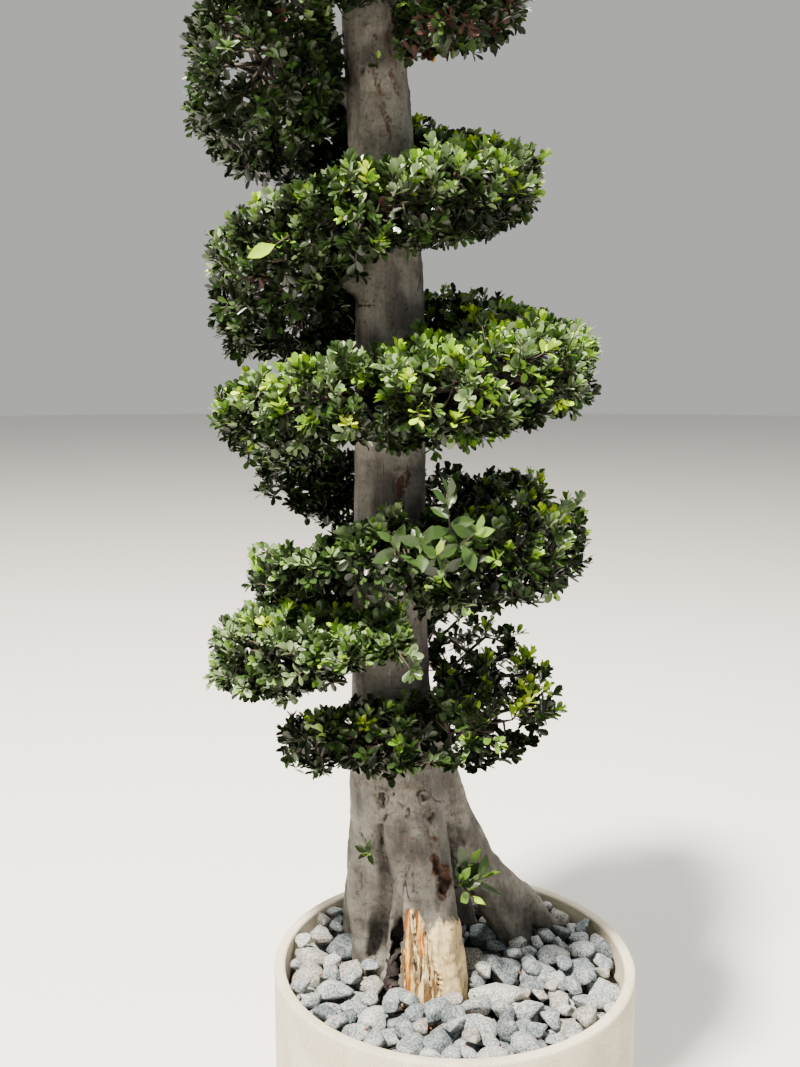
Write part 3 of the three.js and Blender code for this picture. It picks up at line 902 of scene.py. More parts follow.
@dataclass
class StoneBed:
    """River stones dropped on the soil one by one, each into the lowest place of those it tries."""

    most: int = 2400
    tries: int = 90
    # Least, commonest and greatest width
    widths: tuple[float, float, float] = (0.038, 0.068, 0.112)
    breadths: tuple[float, float] = (0.68, 0.92)
    flatness: float = 0.58
    highest: float = 0.481
    reach: float = POT_RADIUS - POT_WALL - 0.001
    # Share of its radius that a stone keeps from the wall, whose middle it may press to
    wall_share: float = 0.8
    overlap: float = 0.825
    bark_overlap: float = 0.7
    # How high its large lumps are, in half sizes, how far apart large and small lumps are, and how high the
    # small ones are, as a share of the large. Each stone reads the noise this much further off than the last
    lumpiness: float = 0.035
    large: float = 1.1
    small: float = 0.55
    small_share: float = 0.45
    noise_step: float = 3.7
    # Flat sides that each stone keeps: how many, how far from its middle, and how sharply they meet
    flats: int = 9
    flat_at: tuple[float, float] = (0.50, 0.78)
    sharpness: float = 38.0
    roundness: float = 0.1
    tilt: float = 0.36
    # Shares of the stones that have each tone
    tones: tuple[float, ...] = (0.3, 0.17, 0.28, 0.12, 0.13)
    scales: int = 46
    scale_size: float = 0.010
    scale_lengths: tuple[float, float] = (0.6, 1.3)
    scale_tilt: float = 0.5
    scale_lift: float = 0.002
    # Right of here this share of them is left out, and they lie this far below the highest stones
    scales_left_of: float = 0.1
    left_out: float = 0.75
    scales_below: float = 0.014
    seed: int = 11
    places: list[tuple[np.ndarray, np.ndarray, float]] = field(default_factory=list)

    def settle(self) -> None:
        """Finds where each stone comes to rest: its middle, its half sizes and its turn."""
        random = np.random.default_rng(self.seed)
        resting = np.zeros((0, 4))
        for _ in range(self.most):
            width = random.triangular(*self.widths)
            breadth = width * random.uniform(*self.breadths)
            radius = (width + breadth) / 4
            angle, turn = random.uniform(0, TAU, self.tries), random.uniform(0, TAU)
            far = (self.reach - self.wall_share * radius) * np.sqrt(random.uniform(0, 1, self.tries))
            spots = np.stack([far * np.cos(angle), far * np.sin(angle)], axis=1)
            apart = np.linalg.norm(spots[:, None] - ROOT_FEET[None, :, :2], axis=2)
            free = (apart > ROOT_FEET[:, 2] + self.bark_overlap * radius).all(axis=1)
            heights = np.full(self.tries, SOIL_TOP + radius * self.flatness)
            if len(resting):
                gaps = np.linalg.norm(spots[:, None] - resting[None, :, :2], axis=2)
                contact = self.overlap * (radius + resting[:, 3])
                rise = np.sqrt(np.maximum(contact**2 - gaps**2, 0)) * self.flatness
                heights = np.maximum(heights, np.where(gaps < contact, resting[:, 2] + rise, 0).max(axis=1))
            heights[~free] = np.inf
            best = int(np.argmin(heights))
            if heights[best] + radius * self.flatness > self.highest:
                continue
            resting = np.vstack([resting, [*spots[best], heights[best], radius]])
            middle = np.array([*spots[best], heights[best]])
            half = np.array([width / 2, breadth / 2, radius * self.flatness])
            self.places.append((middle, half, turn))

    def pebble(self) -> tuple[np.ndarray, np.ndarray]:
        """A unit ball of triangles, to be shaped into a stone.

        Returns:
            Vertices and triangles.
        """
        ball = bmesh.new()
        bmesh.ops.create_icosphere(ball, subdivisions=3, radius=1.0)
        vertices = np.array([vertex.co for vertex in ball.verts])
        triangles = np.array([[vertex.index for vertex in face.verts] for face in ball.faces])
        ball.free()
        return vertices, triangles

    def shaped(self, ball: np.ndarray, number: int, half: np.ndarray, turn: float) -> np.ndarray:
        """One stone about its own middle.

        Args:
            ball: the unit ball's points.
            number: which stone, for its own lumps.
            half: its half sizes.
            turn: how it is turned on the level, in radians.

        Returns:
            Its points.
        """
        away = ball + self.noise_step * number
        lumps = self.lumpiness * rough(away, self.large, 5)
        lumps = lumps + self.small_share * self.lumpiness * rough(away, self.small, 6)
        random = np.random.default_rng([self.seed, number])
        sides = unit(random.normal(size=(self.flats, 3)))
        steepness = np.maximum(ball @ sides.T, 0) / random.uniform(*self.flat_at, self.flats)
        girth = (steepness**self.sharpness).sum(axis=1) + self.roundness
        blunt = ball / girth[:, None] ** (1 / self.sharpness)
        tilt = self.tilt * hashed(np.array([[number, 1, 0], [number, 2, 0]]), 7)
        return (blunt * (1 + lumps)[:, None] * half) @ spun(turn, tilt).T

    def build(self) -> None:
        """Builds all the stones as one mesh, dealt out in tones, and the scales between them."""
        self.settle()
        ball, faces = self.pebble()
        random = np.random.default_rng(self.seed + 1)
        dealt = random.choice(len(self.tones), len(self.places), p=self.tones)
        points, triangles = [], []
        for number, (middle, half, turn) in enumerate(self.places):
            points.append(self.shaped(ball, number, half, turn) + middle)
            triangles.append(faces + number * len(ball))
        finish_index = np.repeat(dealt, len(faces))
        piece = triangle_mesh("river_stones", np.concatenate(points), np.concatenate(triangles), finish_index)
        seat(piece, [RiverStone(tone).material() for tone in StoneTone], Slot.STONE, "stone_bed")
        self.build_scales()

    def top_at(self, spot: np.ndarray) -> float:
        """The height of the stones' top over a spot.

        Args:
            spot: its place, x and y.

        Returns:
            The height, which is the soil's where no stone lies.
        """
        height = SOIL_TOP
        for middle, half, _turn in self.places:
            radius = (half[0] + half[1]) / 2
            away = np.linalg.norm(spot - middle[:2]) / radius
            if away < 1:
                height = max(height, middle[2] + half[2] * math.sqrt(1 - away**2))
        return height

    def build_scales(self) -> None:
        """Strews dry bud scales, thin curled blades, between the stones, most of them at the left."""
        random = np.random.default_rng(self.seed + 2)
        blade = np.array([[-1, 0, 0.1], [0, -0.5, 0], [1, 0, 0.25], [0, 0.5, 0], [0, 0, 0.22]])
        faces = np.array([[0, 1, 4], [1, 2, 4], [2, 3, 4], [3, 0, 4], [1, 0, 3], [2, 1, 3]])
        points, triangles = [], []
        while len(points) < self.scales:
            spot = random.uniform(-self.reach, self.reach, 2)
            outside = np.linalg.norm(spot) > self.reach - self.scale_size
            outside = outside or spot[0] > self.scales_left_of and random.uniform() < self.left_out
            apart = np.linalg.norm(spot - ROOT_FEET[:, :2], axis=1)
            height = self.top_at(spot)
            if outside or (apart < ROOT_FEET[:, 2]).any() or height > self.highest - self.scales_below:
                continue
            length = self.scale_size * random.uniform(*self.scale_lengths) / 2
            tilt = random.uniform(-self.scale_tilt, self.scale_tilt, 2)
            spin = spun(random.uniform(0, TAU), tilt)
            triangles.append(faces + len(points) * len(blade))
            points.append((blade * length) @ spin.T + np.array([*spot, height + self.scale_lift]))
        piece = triangle_mesh("dry_bud_scales", np.concatenate(points), np.concatenate(triangles))
        seat(piece, [DryScale().material()], Slot.STONE, "stone_bed")


class MarkKind(Enum):
    """Kinds of mark on the bark."""

    # The darkness of a knot's pit, a cavity, a gap, a fold and a crack is painted shade
    KNOT = "a wrinkled ring of bark round a pit, where a bough was cut"
    SCAR = "a shallow dark dent"
    CAVITY = "a deep hollow with torn brown walls"
    GAP = "a deep black gap between two roots"
    FOLD = "a valley between two roots"
    CRACK = "a thin dark crack"
    CRUST = "a brown flaky crust"
    RUST = "a flaky crust of red brown"


KNOT, SCAR, CAVITY, GAP, FOLD, CRACK, CRUST, RUST = MarkKind
# Kinds whose edges stay clean, and how much of the raggedness they still have
EVEN_KINDS = (FOLD, CRACK)
EVEN_RAGGEDNESS = 0.3
# A distance from a mark, in its half widths, at which it has no effect
FAR = 9.0


def bell(values: np.ndarray, width: float) -> np.ndarray:
    """A bell curve of height 1 at 0, which falls to 1/e at its width."""
    return np.exp(-((values / width) ** 2))


@dataclass(frozen=True)
class BarkMark:
    """A mark on the front of the trunk, in millimetres: its kind, half width, depth and the way that it runs.

    The way is given by points, each across and up. The ends are shares of the half width at its two ends.
    """

    kind: MarkKind
    half_width: float
    depth: float
    way: tuple[float, ...]
    ends: tuple[float, float] = (1.0, 1.0)
    full_from: float = 0.25

    def away(self, points: np.ndarray) -> np.ndarray:
        """How far each point is from the mark's way, seen from the front.

        Args:
            points: three numbers to a row, in metres.

        Returns:
            Distances, where 1 is the mark's edge.
        """
        flat, way = points[:, [0, 2]] / MILLIMETRE, np.reshape(self.way, (-1, 2))
        if len(way) == 1:
            return np.linalg.norm(flat - way, axis=1) / self.half_width
        lengths = np.linalg.norm(np.diff(way, axis=0), axis=1)
        passed = np.concatenate([[0.0], np.cumsum(lengths)]) / lengths.sum()
        places = (0.0, self.full_from, 1 - self.full_from, 1.0)
        best = np.full(len(points), np.inf)
        for index, (start, end) in enumerate(zip(way, way[1:])):
            along = end - start
            share = np.clip((flat - start) @ along / (along @ along), 0, 1)
            apart = np.linalg.norm(flat - start - share[:, None] * along, axis=1)
            position = passed[index] + share * (passed[index + 1] - passed[index])
            width = np.interp(position, places, (self.ends[0], 1.0, 1.0, self.ends[1]))
            best = np.minimum(best, apart / (self.half_width * width))
        return best


@dataclass
class BarkRelief:
    """The bark's points while it is shaped: how far each moves out along its normal, and its layers."""

    points: np.ndarray
    out: np.ndarray
    layers: dict[BarkLayer, np.ndarray]

    def cover(self, layer: BarkLayer, values: np.ndarray) -> None:
        """Raises a layer to the values where it is below them."""
        self.layers[layer] = np.maximum(self.layers[layer], values)

    def stamp(self, kind: MarkKind, depth: float, away: np.ndarray) -> None:
        """Adds one mark.

        Args:
            kind: what mark it is.
            depth: how deep or high it is.
            away: each point's distance from its middle, where 1 is its edge.
        """
        ring, pit, within = bell(away - 1.0, 0.3), bell(away, 0.6), smooth_step(away, 1.1, 0.6)
        if kind is KNOT:
            wrinkles = np.cos(TAU * 1.25 * away) * bell(away, 1.9)
            self.out += depth * (0.6 * ring - 1.2 * pit + 0.3 * wrinkles)
            # Painted shade in the pit and in the troughs of the wrinkles
            self.cover(BarkLayer.HOLLOW, np.maximum(0.95 * pit**1.2, 0.4 * smooth_step(wrinkles, -0.1, -0.5)))
            self.cover(BarkLayer.CRUST, 0.42 * smooth_step(away, 2.4, 0.7))
        elif kind is SCAR:
            self.out -= depth * pit
            self.cover(BarkLayer.HOLLOW, 0.6 * pit)
            self.cover(BarkLayer.CRUST, 0.38 * smooth_step(away, 1.7, 0.6))
        elif kind is CAVITY:
            self.out += depth * (0.12 * ring - within)
            # Painted shade inside the cavity; its rusty walls are the wood's own
            self.cover(BarkLayer.HOLLOW, 0.85 * smooth_step(away, 0.9, 0.4))
            self.cover(BarkLayer.RUST, 0.8 * smooth_step(away, 1.4, 0.95))
        elif kind is GAP:
            self.out -= depth * within
            # Painted black shadow in the gap
            self.cover(BarkLayer.HOLLOW, 0.97 * smooth_step(away, 1.15, 0.75))
        elif kind is FOLD:
            self.out -= depth * bell(away, 0.8)
            # Painted shade along the valley's floor
            self.cover(BarkLayer.HOLLOW, 0.45 * bell(away, 0.35))
        elif kind is CRACK:
            self.out -= depth * pit
            # Painted shade in the crack
            self.cover(BarkLayer.HOLLOW, 0.75 * pit)
        else:
            flakes = smooth_step(rough(self.points, (0.004, 0.004, 0.006), 17), -0.3, 0.5)
            self.out += depth * within * flakes
            layer, least = (BarkLayer.RUST, 0.6) if kind is RUST else (BarkLayer.CRUST, 0.45)
            self.cover(layer, smooth_step(away, 1.2, 0.8) * (least + 0.3 * flakes))
            # Painted shade between the flakes
            self.cover(BarkLayer.HOLLOW, 0.35 * within * (1 - flakes))


# Marks on the front, from the foot up: the valleys between the roots and the hollows, then the small marks
MARKS = (
    BarkMark(FOLD, 15, 22, (-148, 765, -150, 715, -137, 667, -134, 620, -146, 560, -156, 480), (0.4, 1.3)),
    BarkMark(FOLD, 10, 8, (-94, 700, -102, 662, -112, 610, -116, 560), (0.4, 1.0)),
    BarkMark(GAP, 7.5, 30, (-115, 582, -118, 530, -121, 430), (0.3, 1.1)),
    BarkMark(FOLD, 14, 10, (-20, 856, -7, 805, 3, 748, 12, 690), (0.4, 1.2)),
    BarkMark(FOLD, 8, 5, (-36, 672, -31, 644, -32, 612), (0.3, 0.6)),
    BarkMark(FOLD, 12, 6, (-74, 760, -85, 700, -84, 655), (0.4, 0.6)),
    BarkMark(RUST, 14, 3, (-43, 716, -35, 692, -22, 668, -26, 636), (0.5, 0.4)),
    BarkMark(CAVITY, 7, 10, (-40, 709, -34, 690), (0.8, 1.0)),
    BarkMark(CAVITY, 9, 15, (-27, 684, -20, 667, -23, 648), (0.8, 0.6)),
    BarkMark(CRACK, 2.6, 3, (-101, 667, -96, 649, -89, 629), (0.5, 0.5)),
    BarkMark(CRACK, 2.2, 2, (-50, 838, -37, 815, -21, 798, -8, 775, 0, 752), (0.5, 0.5)),
    BarkMark(KNOT, 12, 6, (-144, 832, -141, 812), (0.8, 0.9)),
    BarkMark(SCAR, 9, 3, (-134, 806, -137, 784, -148, 761), (0.8, 0.7)),
    BarkMark(KNOT, 6, 3, (-121, 836)),
    BarkMark(SCAR, 5, 3, (-114, 819, -101, 813), (0.5, 1.0)),
    BarkMark(SCAR, 5, 3, (-92, 808, -90, 799, -98, 792), (0.8, 0.5)),
    BarkMark(KNOT, 10, 4, (-63, 829)),
    BarkMark(SCAR, 9, 2, (-73, 838, -66, 843)),
    BarkMark(KNOT, 13, 3, (-46, 789)),
    BarkMark(RUST, 6, 1, (-40, 747)),
    BarkMark(CRUST, 4, 0.8, (-57, 772, -50, 752, -47, 732), (0.3, 0.6)),
    BarkMark(CRUST, 8, 0.8, (-196, 846, -195, 836)),
    BarkMark(SCAR, 8, 2, (-191, 738, -178, 729)),
    BarkMark(SCAR, 6, 2, (-150, 742, -149, 722)),
    BarkMark(SCAR, 5, 2, (-144, 700, -138, 682)),
    BarkMark(RUST, 10, 1, (-101, 1452, -107, 1424, -109, 1394), (0.4, 1.2)),
    BarkMark(RUST, 4.5, 0.8, (-94, 1468, -91, 1446, -96, 1430), (0.4, 1.0)),
    BarkMark(SCAR, 6, 1, (-106, 1500, -118, 1488)),
    BarkMark(CRACK, 3, 1, (-188, 1763, -162, 1762, -139, 1767), (0.5, 0.5)),
    BarkMark(CRACK, 3, 1, (-114, 1763, -101, 1767, -94, 1758, -99, 1752), (0.6, 0.6)),
    BarkMark(CRACK, 3, 1, (-68, 1828, -70, 1810, -75, 1788), (0.5, 0.5)),
    BarkMark(SCAR, 5, 2, (-110, 1817, -105, 1821)),
    BarkMark(SCAR, 4, 1, (-94, 1816)),
    BarkMark(SCAR, 4, 1, (-137, 1794, -128, 1799)),
    BarkMark(SCAR, 4, 1, (-120, 1772, -112, 1774)),
    BarkMark(SCAR, 4, 1, (-82, 1775)),
    BarkMark(KNOT, 6, 2, (-130, 1843)),
    BarkMark(
        CRUST, 6.5, 2, (-156, 2173, -146, 2149, -141, 2119, -134, 2098, -127, 2078, -125, 2050), (1.2, 1.0)
    ),
    BarkMark(CRUST, 4, 1, (-132, 2253, -130, 2226, -124, 2190), (0.4, 0.7)),
    BarkMark(CRUST, 6, 1.5, (-124, 2178, -122, 2162, -115, 2147), (0.6, 0.8)),
    BarkMark(CRACK, 3, 1, (-114, 2141, -105, 2127), (0.6, 0.3)),
    BarkMark(CRUST, 5, 1, (-154, 2236, -156, 2202), (0.4, 0.8)),
    BarkMark(SCAR, 5, 2, (-171, 2098, -166, 2078)),
    BarkMark(KNOT, 9, 3, (-176, 2175)),
)
# Weathered amber strips in the peeled wood, and the grooves along its grain, which hold painted shade
AMBER_STRIPS = (
    BarkMark(CRUST, 6.5, 0, (-94, 613, -98, 570, -99, 523, -91, 440), (0.6, 0.8)),
    BarkMark(CRUST, 5.0, 0, (-77, 606, -71, 570, -66, 530), (0.6, 0.5)),
)
GROOVES = (
    BarkMark(CRACK, 3.5, 6, (-86, 614, -82, 570, -84, 523, -76, 470), (1.8, 0.6)),
    BarkMark(CRACK, 2.8, 3, (-103, 600, -106, 540, -101, 450), (0.5, 0.8)),
    BarkMark(CRACK, 2.6, 4, (-64, 610, -55, 560, -53, 500, -45, 450), (0.4, 0.8)),
    BarkMark(CRACK, 2.4, 3, (-79, 548, -66, 515, -70, 480, -79, 460), (0.5, 0.5)),
)


@dataclass(frozen=True)
class BarkWave:
    """A layer of random relief: its height, how far apart its bumps are, and how much of it shows.

    One share of it shows everywhere, and another is added at the foot.
    """

    height: float
    bumps: float | tuple[float, float, float]
    seed: int
    everywhere: float = 1.0
    at_foot: float = 0.0


def waved(points: np.ndarray, waves: Iterable[BarkWave], foot: np.ndarray | float = 0.0) -> np.ndarray:
    """Adds up layers of random relief.

    Args:
        points: where to read it, three numbers to a row.
        waves: the layers.
        foot: how far each point is at the foot, from 0 to 1.

    Returns:
        One value for each point.
    """
    out = np.zeros(len(points))
    for wave in waves:
        height = wave.height * (wave.everywhere + wave.at_foot * foot)
        out += height * rough(points, wave.bumps, wave.seed)
    return out


# Lumps and flutes of the foot, ridges and finer ridges up the trunk, and wrinkles round it
BARK_WAVES = (
    BarkWave(0.0045, (0.05, 0.05, 0.13), 11, 0.0, 1.0),
    BarkWave(0.0055, (0.034, 0.034, 0.26), 19, 0.0, 1.0),
    BarkWave(0.0014, (0.014, 0.014, 0.09), 12, 0.6, 0.8),
    BarkWave(0.0007, (0.007, 0.007, 0.03), 13),
    BarkWave(0.0008, (0.08, 0.08, 0.010), 14),
)
# How ragged the marks' edges are, in half widths, and how the edges of the peeled wood wander, in metres
RAGGED_WAVES = (BarkWave(0.34, 0.014, 15), BarkWave(0.26, 0.006, 20))
WOUND_WAVES = (BarkWave(0.003, (0.02, 0.02, 0.018), 8), BarkWave(0.0015, 0.005, 9))
# How the sides of the callus wander, as shares of its width, and how its top does, in metres
CALLUS_SIDES = (BarkWave(0.12, (0.02, 0.02, 0.03), 23),)
CALLUS_TOP = (BarkWave(0.022, 0.034, 18),)


@dataclass
class Trunk:
    """The trunk with its roots and boughs, as one skin of bark with relief, wounds and hollows."""

    voxel: float = 0.005
    smoothing: int = 6
    fine_below: float = 0.87
    foot_top: float = 0.95
    foot_fade: float = 0.25
    # Only points in front of this one take the marks of the front
    front: float = 0.03
    knots: int = 34
    knot_radii: tuple[float, float] = (0.006, 0.013)
    knot_depth: float = 0.3
    # Knots are a little taller than wide. They are strewn above the foot, behind this place or near the top
    knot_tallness: float = 1.25
    knots_from: float = 0.55
    knots_behind: float = 0.05
    knots_anywhere_from: float = 2.26
    seed: int = 21
    bark_thickness: float = 0.005
    wood_ridge: float = 0.008
    wood_ridge_width: float = 0.012
    lip: float = 0.005
    callus: float = 0.006
    # The peeled wood on the front root: heights, and its left and right edges there
    wound_heights: tuple[float, ...] = (0.400, 0.464, 0.498, 0.534, 0.566, 0.592, 0.612, 0.623)
    wound_left: tuple[float, ...] = (-0.106, -0.107, -0.108, -0.107, -0.105, -0.102, -0.097, -0.086)
    wound_right: tuple[float, ...] = (-0.026, -0.030, -0.035, -0.042, -0.052, -0.062, -0.072, -0.080)
    # How far below its top it is whole, and how far inside its edges it starts and is whole
    wound_fade: float = 0.008
    wound_edge: tuple[float, float] = (-0.0015, 0.0025)
    # The tan callus at its right, partly painted sunlight whose top follows a shadow's edge: its edges
    # across, and its top, which falls from its highest place
    callus_edges: tuple[float, float] = (-0.064, 0.026)
    callus_top: float = 0.604
    callus_highest: float = 0.3
    callus_fall: float = 0.09
    # Shares of its width between which it comes in at the left and at the right, and heights over its top
    callus_left: tuple[float, float] = (-0.2, 0.3)
    callus_right: tuple[float, float] = (1.2, 0.9)
    callus_rim: tuple[float, float] = (0.004, -0.030)

    def skin(self) -> bpy.types.Mesh:
        """Melts the trunk's, roots' and boughs' solids into one even skin.

        Returns:
            The mesh, with smaller faces on the front of the foot.
        """
        melt = bmesh.new()
        for name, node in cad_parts.items():
            if name == "trunk" or name.startswith("bough_"):
                melt.from_mesh(node.data)
        rough_mesh = bpy.data.meshes.new("rough_skin")
        melt.to_mesh(rough_mesh)
        melt.free()
        holder = add_object("rough_skin", rough_mesh)
        remesh = holder.modifiers.new("even", "REMESH")
        remesh.mode = "VOXEL"
        remesh.voxel_size = self.voxel
        holder.modifiers.new("soft", "SMOOTH").iterations = self.smoothing
        graph = bpy.context.evaluated_depsgraph_get()
        skin = bpy.data.meshes.new_from_object(holder.evaluated_get(graph))
        bpy.data.objects.remove(holder)
        bpy.data.meshes.remove(rough_mesh)
        fine = bmesh.new()
        fine.from_mesh(skin)
        edges = [edge for edge in fine.edges if all(self.shows_close(vertex.co) for vertex in edge.verts)]
        bmesh.ops.subdivide_edges(fine, edges=edges, cuts=1, use_grid_fill=True)
        fine.to_mesh(skin)
        fine.free()
        return skin

    def shows_close(self, place: Vector) -> bool:
        """Whether a point is on the front of the foot, where the wood and the knots show."""
        return place.z < self.fine_below and place.y < 0.0

    def wound_at(self, points: np.ndarray) -> np.ndarray:
        """How far each point is in the peeled wood, with a ragged edge.

        Args:
            points: three numbers to a row.

        Returns:
            Shares from 0 to 1.
        """
        x = points[:, 0] + waved(points, WOUND_WAVES)
        left = np.interp(points[:, 2], self.wound_heights, self.wound_left)
        right = np.interp(points[:, 2], self.wound_heights, self.wound_right)
        top = self.wound_heights[-1]
        below = smooth_step(points[:, 2], top, top - self.wound_fade)
        return smooth_step(np.minimum(x - left, right - x), *self.wound_edge) * below * (points[:, 1] < 0.0)

    def callus_and_sunlight_at(self, points: np.ndarray) -> np.ndarray:
        """How far each point is in the tan callus, partly painted sunlight, whose top is an uneven arch.

        Args:
            points: three numbers to a row.

        Returns:
            Shares from 0 to 1.
        """
        left, right = self.callus_edges
        across = (points[:, 0] - left) / (right - left) + waved(points, CALLUS_SIDES)
        top = self.callus_top - self.callus_fall * (across - self.callus_highest) ** 2
        top = top + waved(points, CALLUS_TOP)
        sides = smooth_step(across, *self.callus_left) * smooth_step(across, *self.callus_right)
        above, below = self.callus_rim
        return sides * smooth_step(points[:, 2], top + above, top + below) * (points[:, 1] < 0.0)

    def relief(self, points: np.ndarray) -> BarkRelief:
        """The bark's relief and the layers that its material reads.

        Args:
            points: the skin's vertices.

        Returns:
            The relief.
        """
        foot = smooth_step(points[:, 2], self.foot_top, self.foot_top - self.foot_fade)
        layers = {layer: np.zeros(len(points)) for layer in BarkLayer}
        relief = BarkRelief(points, waved(points, BARK_WAVES, foot), layers)
        ragged = waved(points, RAGGED_WAVES)
        front = points[:, 1] < self.front
        for mark in MARKS:
            edge = EVEN_RAGGEDNESS * ragged if mark.kind in EVEN_KINDS else ragged
            relief.stamp(mark.kind, mark.depth * MILLIMETRE, np.where(front, mark.away(points) + edge, FAR))
        self.scatter_knots(relief)
        self.heal(relief)
        self.peel(relief, ragged)
        return relief

    def scatter_knots(self, relief: BarkRelief) -> None:
        """Strews small knots and scars over the sides, the back and the top.

        Args:
            relief: the bark's relief, which it changes.
        """
        random = np.random.default_rng(self.seed)
        points = relief.points
        hidden = (points[:, 1] > self.knots_behind) | (points[:, 2] > self.knots_anywhere_from)
        free = np.flatnonzero((points[:, 2] > self.knots_from) & hidden)
        for centre in points[random.choice(free, self.knots)]:
            radius = random.uniform(*self.knot_radii)
            away = np.linalg.norm((points - centre) / (radius, radius, self.knot_tallness * radius), axis=1)
            relief.stamp(KNOT if random.uniform() < 0.5 else SCAR, self.knot_depth * radius, away)

    def heal(self, relief: BarkRelief) -> None:
        """Swells the callus beside the peeled wood, tan with amber patches low down and a few brown spots.
        Its tan is partly painted sunlight.

        Args:
            relief: the bark's relief, which it changes.
        """
        points = relief.points
        callus = self.callus_and_sunlight_at(points)
        relief.out += self.callus * callus * (1 + 0.5 * rough(points, (0.018, 0.018, 0.03), 24))
        # Pale tan, partly painted sunlight
        relief.cover(BarkLayer.TAN, callus * (0.8 + 0.3 * rough(points, 0.012, 25)))
        patches = smooth_step(rough(points, (0.02, 0.02, 0.012), 27), 0.1, 0.6)
        relief.cover(BarkLayer.AMBER, 0.4 * callus * patches * smooth_step(points[:, 2], 0.53, 0.47))
        spots = smooth_step(rough(points, 0.007, 26), 0.35, 0.7)
        relief.cover(BarkLayer.CRUST, 0.45 * callus * spots)

    def peel(self, relief: BarkRelief, ragged: np.ndarray) -> None:
        """Bares the wood of the front root: ridges along the grain, amber strips with dark edges, and grooves
        with painted shade in them.

        Args:
            relief: the bark's relief, which it changes.
            ragged: how far the marks' edges are off at each point.
        """
        points = relief.points
        wound = self.wound_at(points)
        bent = points + 0.008 * rough(points, 0.06, 21)[:, None] * (1.0, 0.0, 0.0)
        grain = np.abs(rough(bent, (self.wood_ridge_width, 0.5, 0.16), 16))
        fine = np.abs(rough(bent, (0.4 * self.wood_ridge_width, 0.5, 0.09), 27))
        wood = self.wood_ridge * (grain + 0.3 * fine - 0.45) - self.bark_thickness
        relief.out = relief.out * (1 - wound) + wood * wound + self.lip * wound * (1 - wound)
        relief.layers[BarkLayer.WOUND] = wound
        # Darkens all the bare wood a little
        relief.cover(BarkLayer.HOLLOW, 0.26 * wound)
        for strip in AMBER_STRIPS:
            away = strip.away(points) + ragged
            relief.cover(BarkLayer.AMBER, wound * smooth_step(away, 1.4, 0.8))
            # The amber strips stay clear of the dark layer, and get dark edges round them
            relief.layers[BarkLayer.HOLLOW] *= 1 - wound * smooth_step(away, 1.1, 0.7)
            relief.cover(BarkLayer.HOLLOW, 0.55 * wound * bell(away - 1.25, 0.22))
        for groove in GROOVES:
            away = np.where(wound > 0.5, groove.away(points) + ragged, FAR)
            relief.stamp(groove.kind, groove.depth * MILLIMETRE, away)
        # Painted shade in the low grooves between the wood's ridges
        relief.cover(BarkLayer.HOLLOW, 0.45 * smooth_step(grain, 0.10, 0.01) * wound)
        relief.cover(BarkLayer.HOLLOW, 0.25 * smooth_step(fine, 0.08, 0.01) * wound)

    def build(self) -> None:
        """Builds the skin, moves it to its relief and gives it its layers."""
        skin = self.skin()
        points, normals = np.zeros((2, 3 * len(skin.vertices)), np.float32)
        skin.vertices.foreach_get("co", points)
        skin.vertex_normals.foreach_get("vector", normals)
        points = points.reshape(-1, 3).astype(float)
        relief = self.relief(points)
        moved = points + normals.reshape(-1, 3) * relief.out[:, None]
        skin.vertices.foreach_set("co", moved.astype(np.float32).ravel())
        for layer, values in relief.layers.items():
            attribute = skin.attributes.new(layer.value, "FLOAT", "POINT")
            attribute.data.foreach_set("value", np.clip(values, 0, 1).astype(np.float32))
        skin.update()
        skin.shade_smooth()
        skin.materials.clear()
        boughs = sorted(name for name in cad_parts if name.startswith("bough_"))
        seat(add_object("trunk_and_boughs", skin), [FigBark().material()], Slot.BARK, "trunk", *boughs)


def trunk_at(height: np.ndarray) -> tuple[np.ndarray, np.ndarray]:
    """The trunk's side lean and radius at each height."""
    x, heights, radius = TRUNK_LINE.T
    return np.interp(height, heights, x), np.interp(height, heights, radius)


def power_sum(first: np.ndarray, second: np.ndarray, power: float) -> np.ndarray:
    """The distance measure of a rounded square."""
    return (np.abs(first) ** power + np.abs(second) ** power) ** (1 / power)


@dataclass(frozen=True)
class ClumpSize:
    """A clump of the spiral: its step, its lift off the even climb, its reach from the trunk and its depth.

    It fills its step from its start to its end, which are shares of the step. Its sizes hold at the middle
    of its step, or ahead of it by a share of a step. If it is the last, it may taper to its tail's sizes.
    """

    step: int
    lift: float
    reach: float
    depth: float
    start: float = 0.0
    end: float = 1.0
    ahead: float = 0.0
    tail: "ClumpSize | None" = None

    @property
    def size_turn(self) -> float:
        """The turn at which its sizes hold."""
        return FIRST_START + (self.step + self.ahead) * CLUMP_STEP + CLUMP_SPAN / 2


@dataclass(frozen=True)
class Habit:
    """How a clump grows: the spacing of its shoots, how many leaves are young, pale with painted waxy sheen
    or dry, and how long.

    It has no shoots where a cloudy noise from -1 to 1 is below open_below, and its painted shade darkens all
    its leaves.
    """

    spacing: float = 0.0268
    inner: float = 0.38
    youth: float = 1.0
    wax_sheen: float = 0.5
    dry: float = 0.004
    leaf: float = 0.0232
    open_below: float = -0.45
    shade: float = 0.0


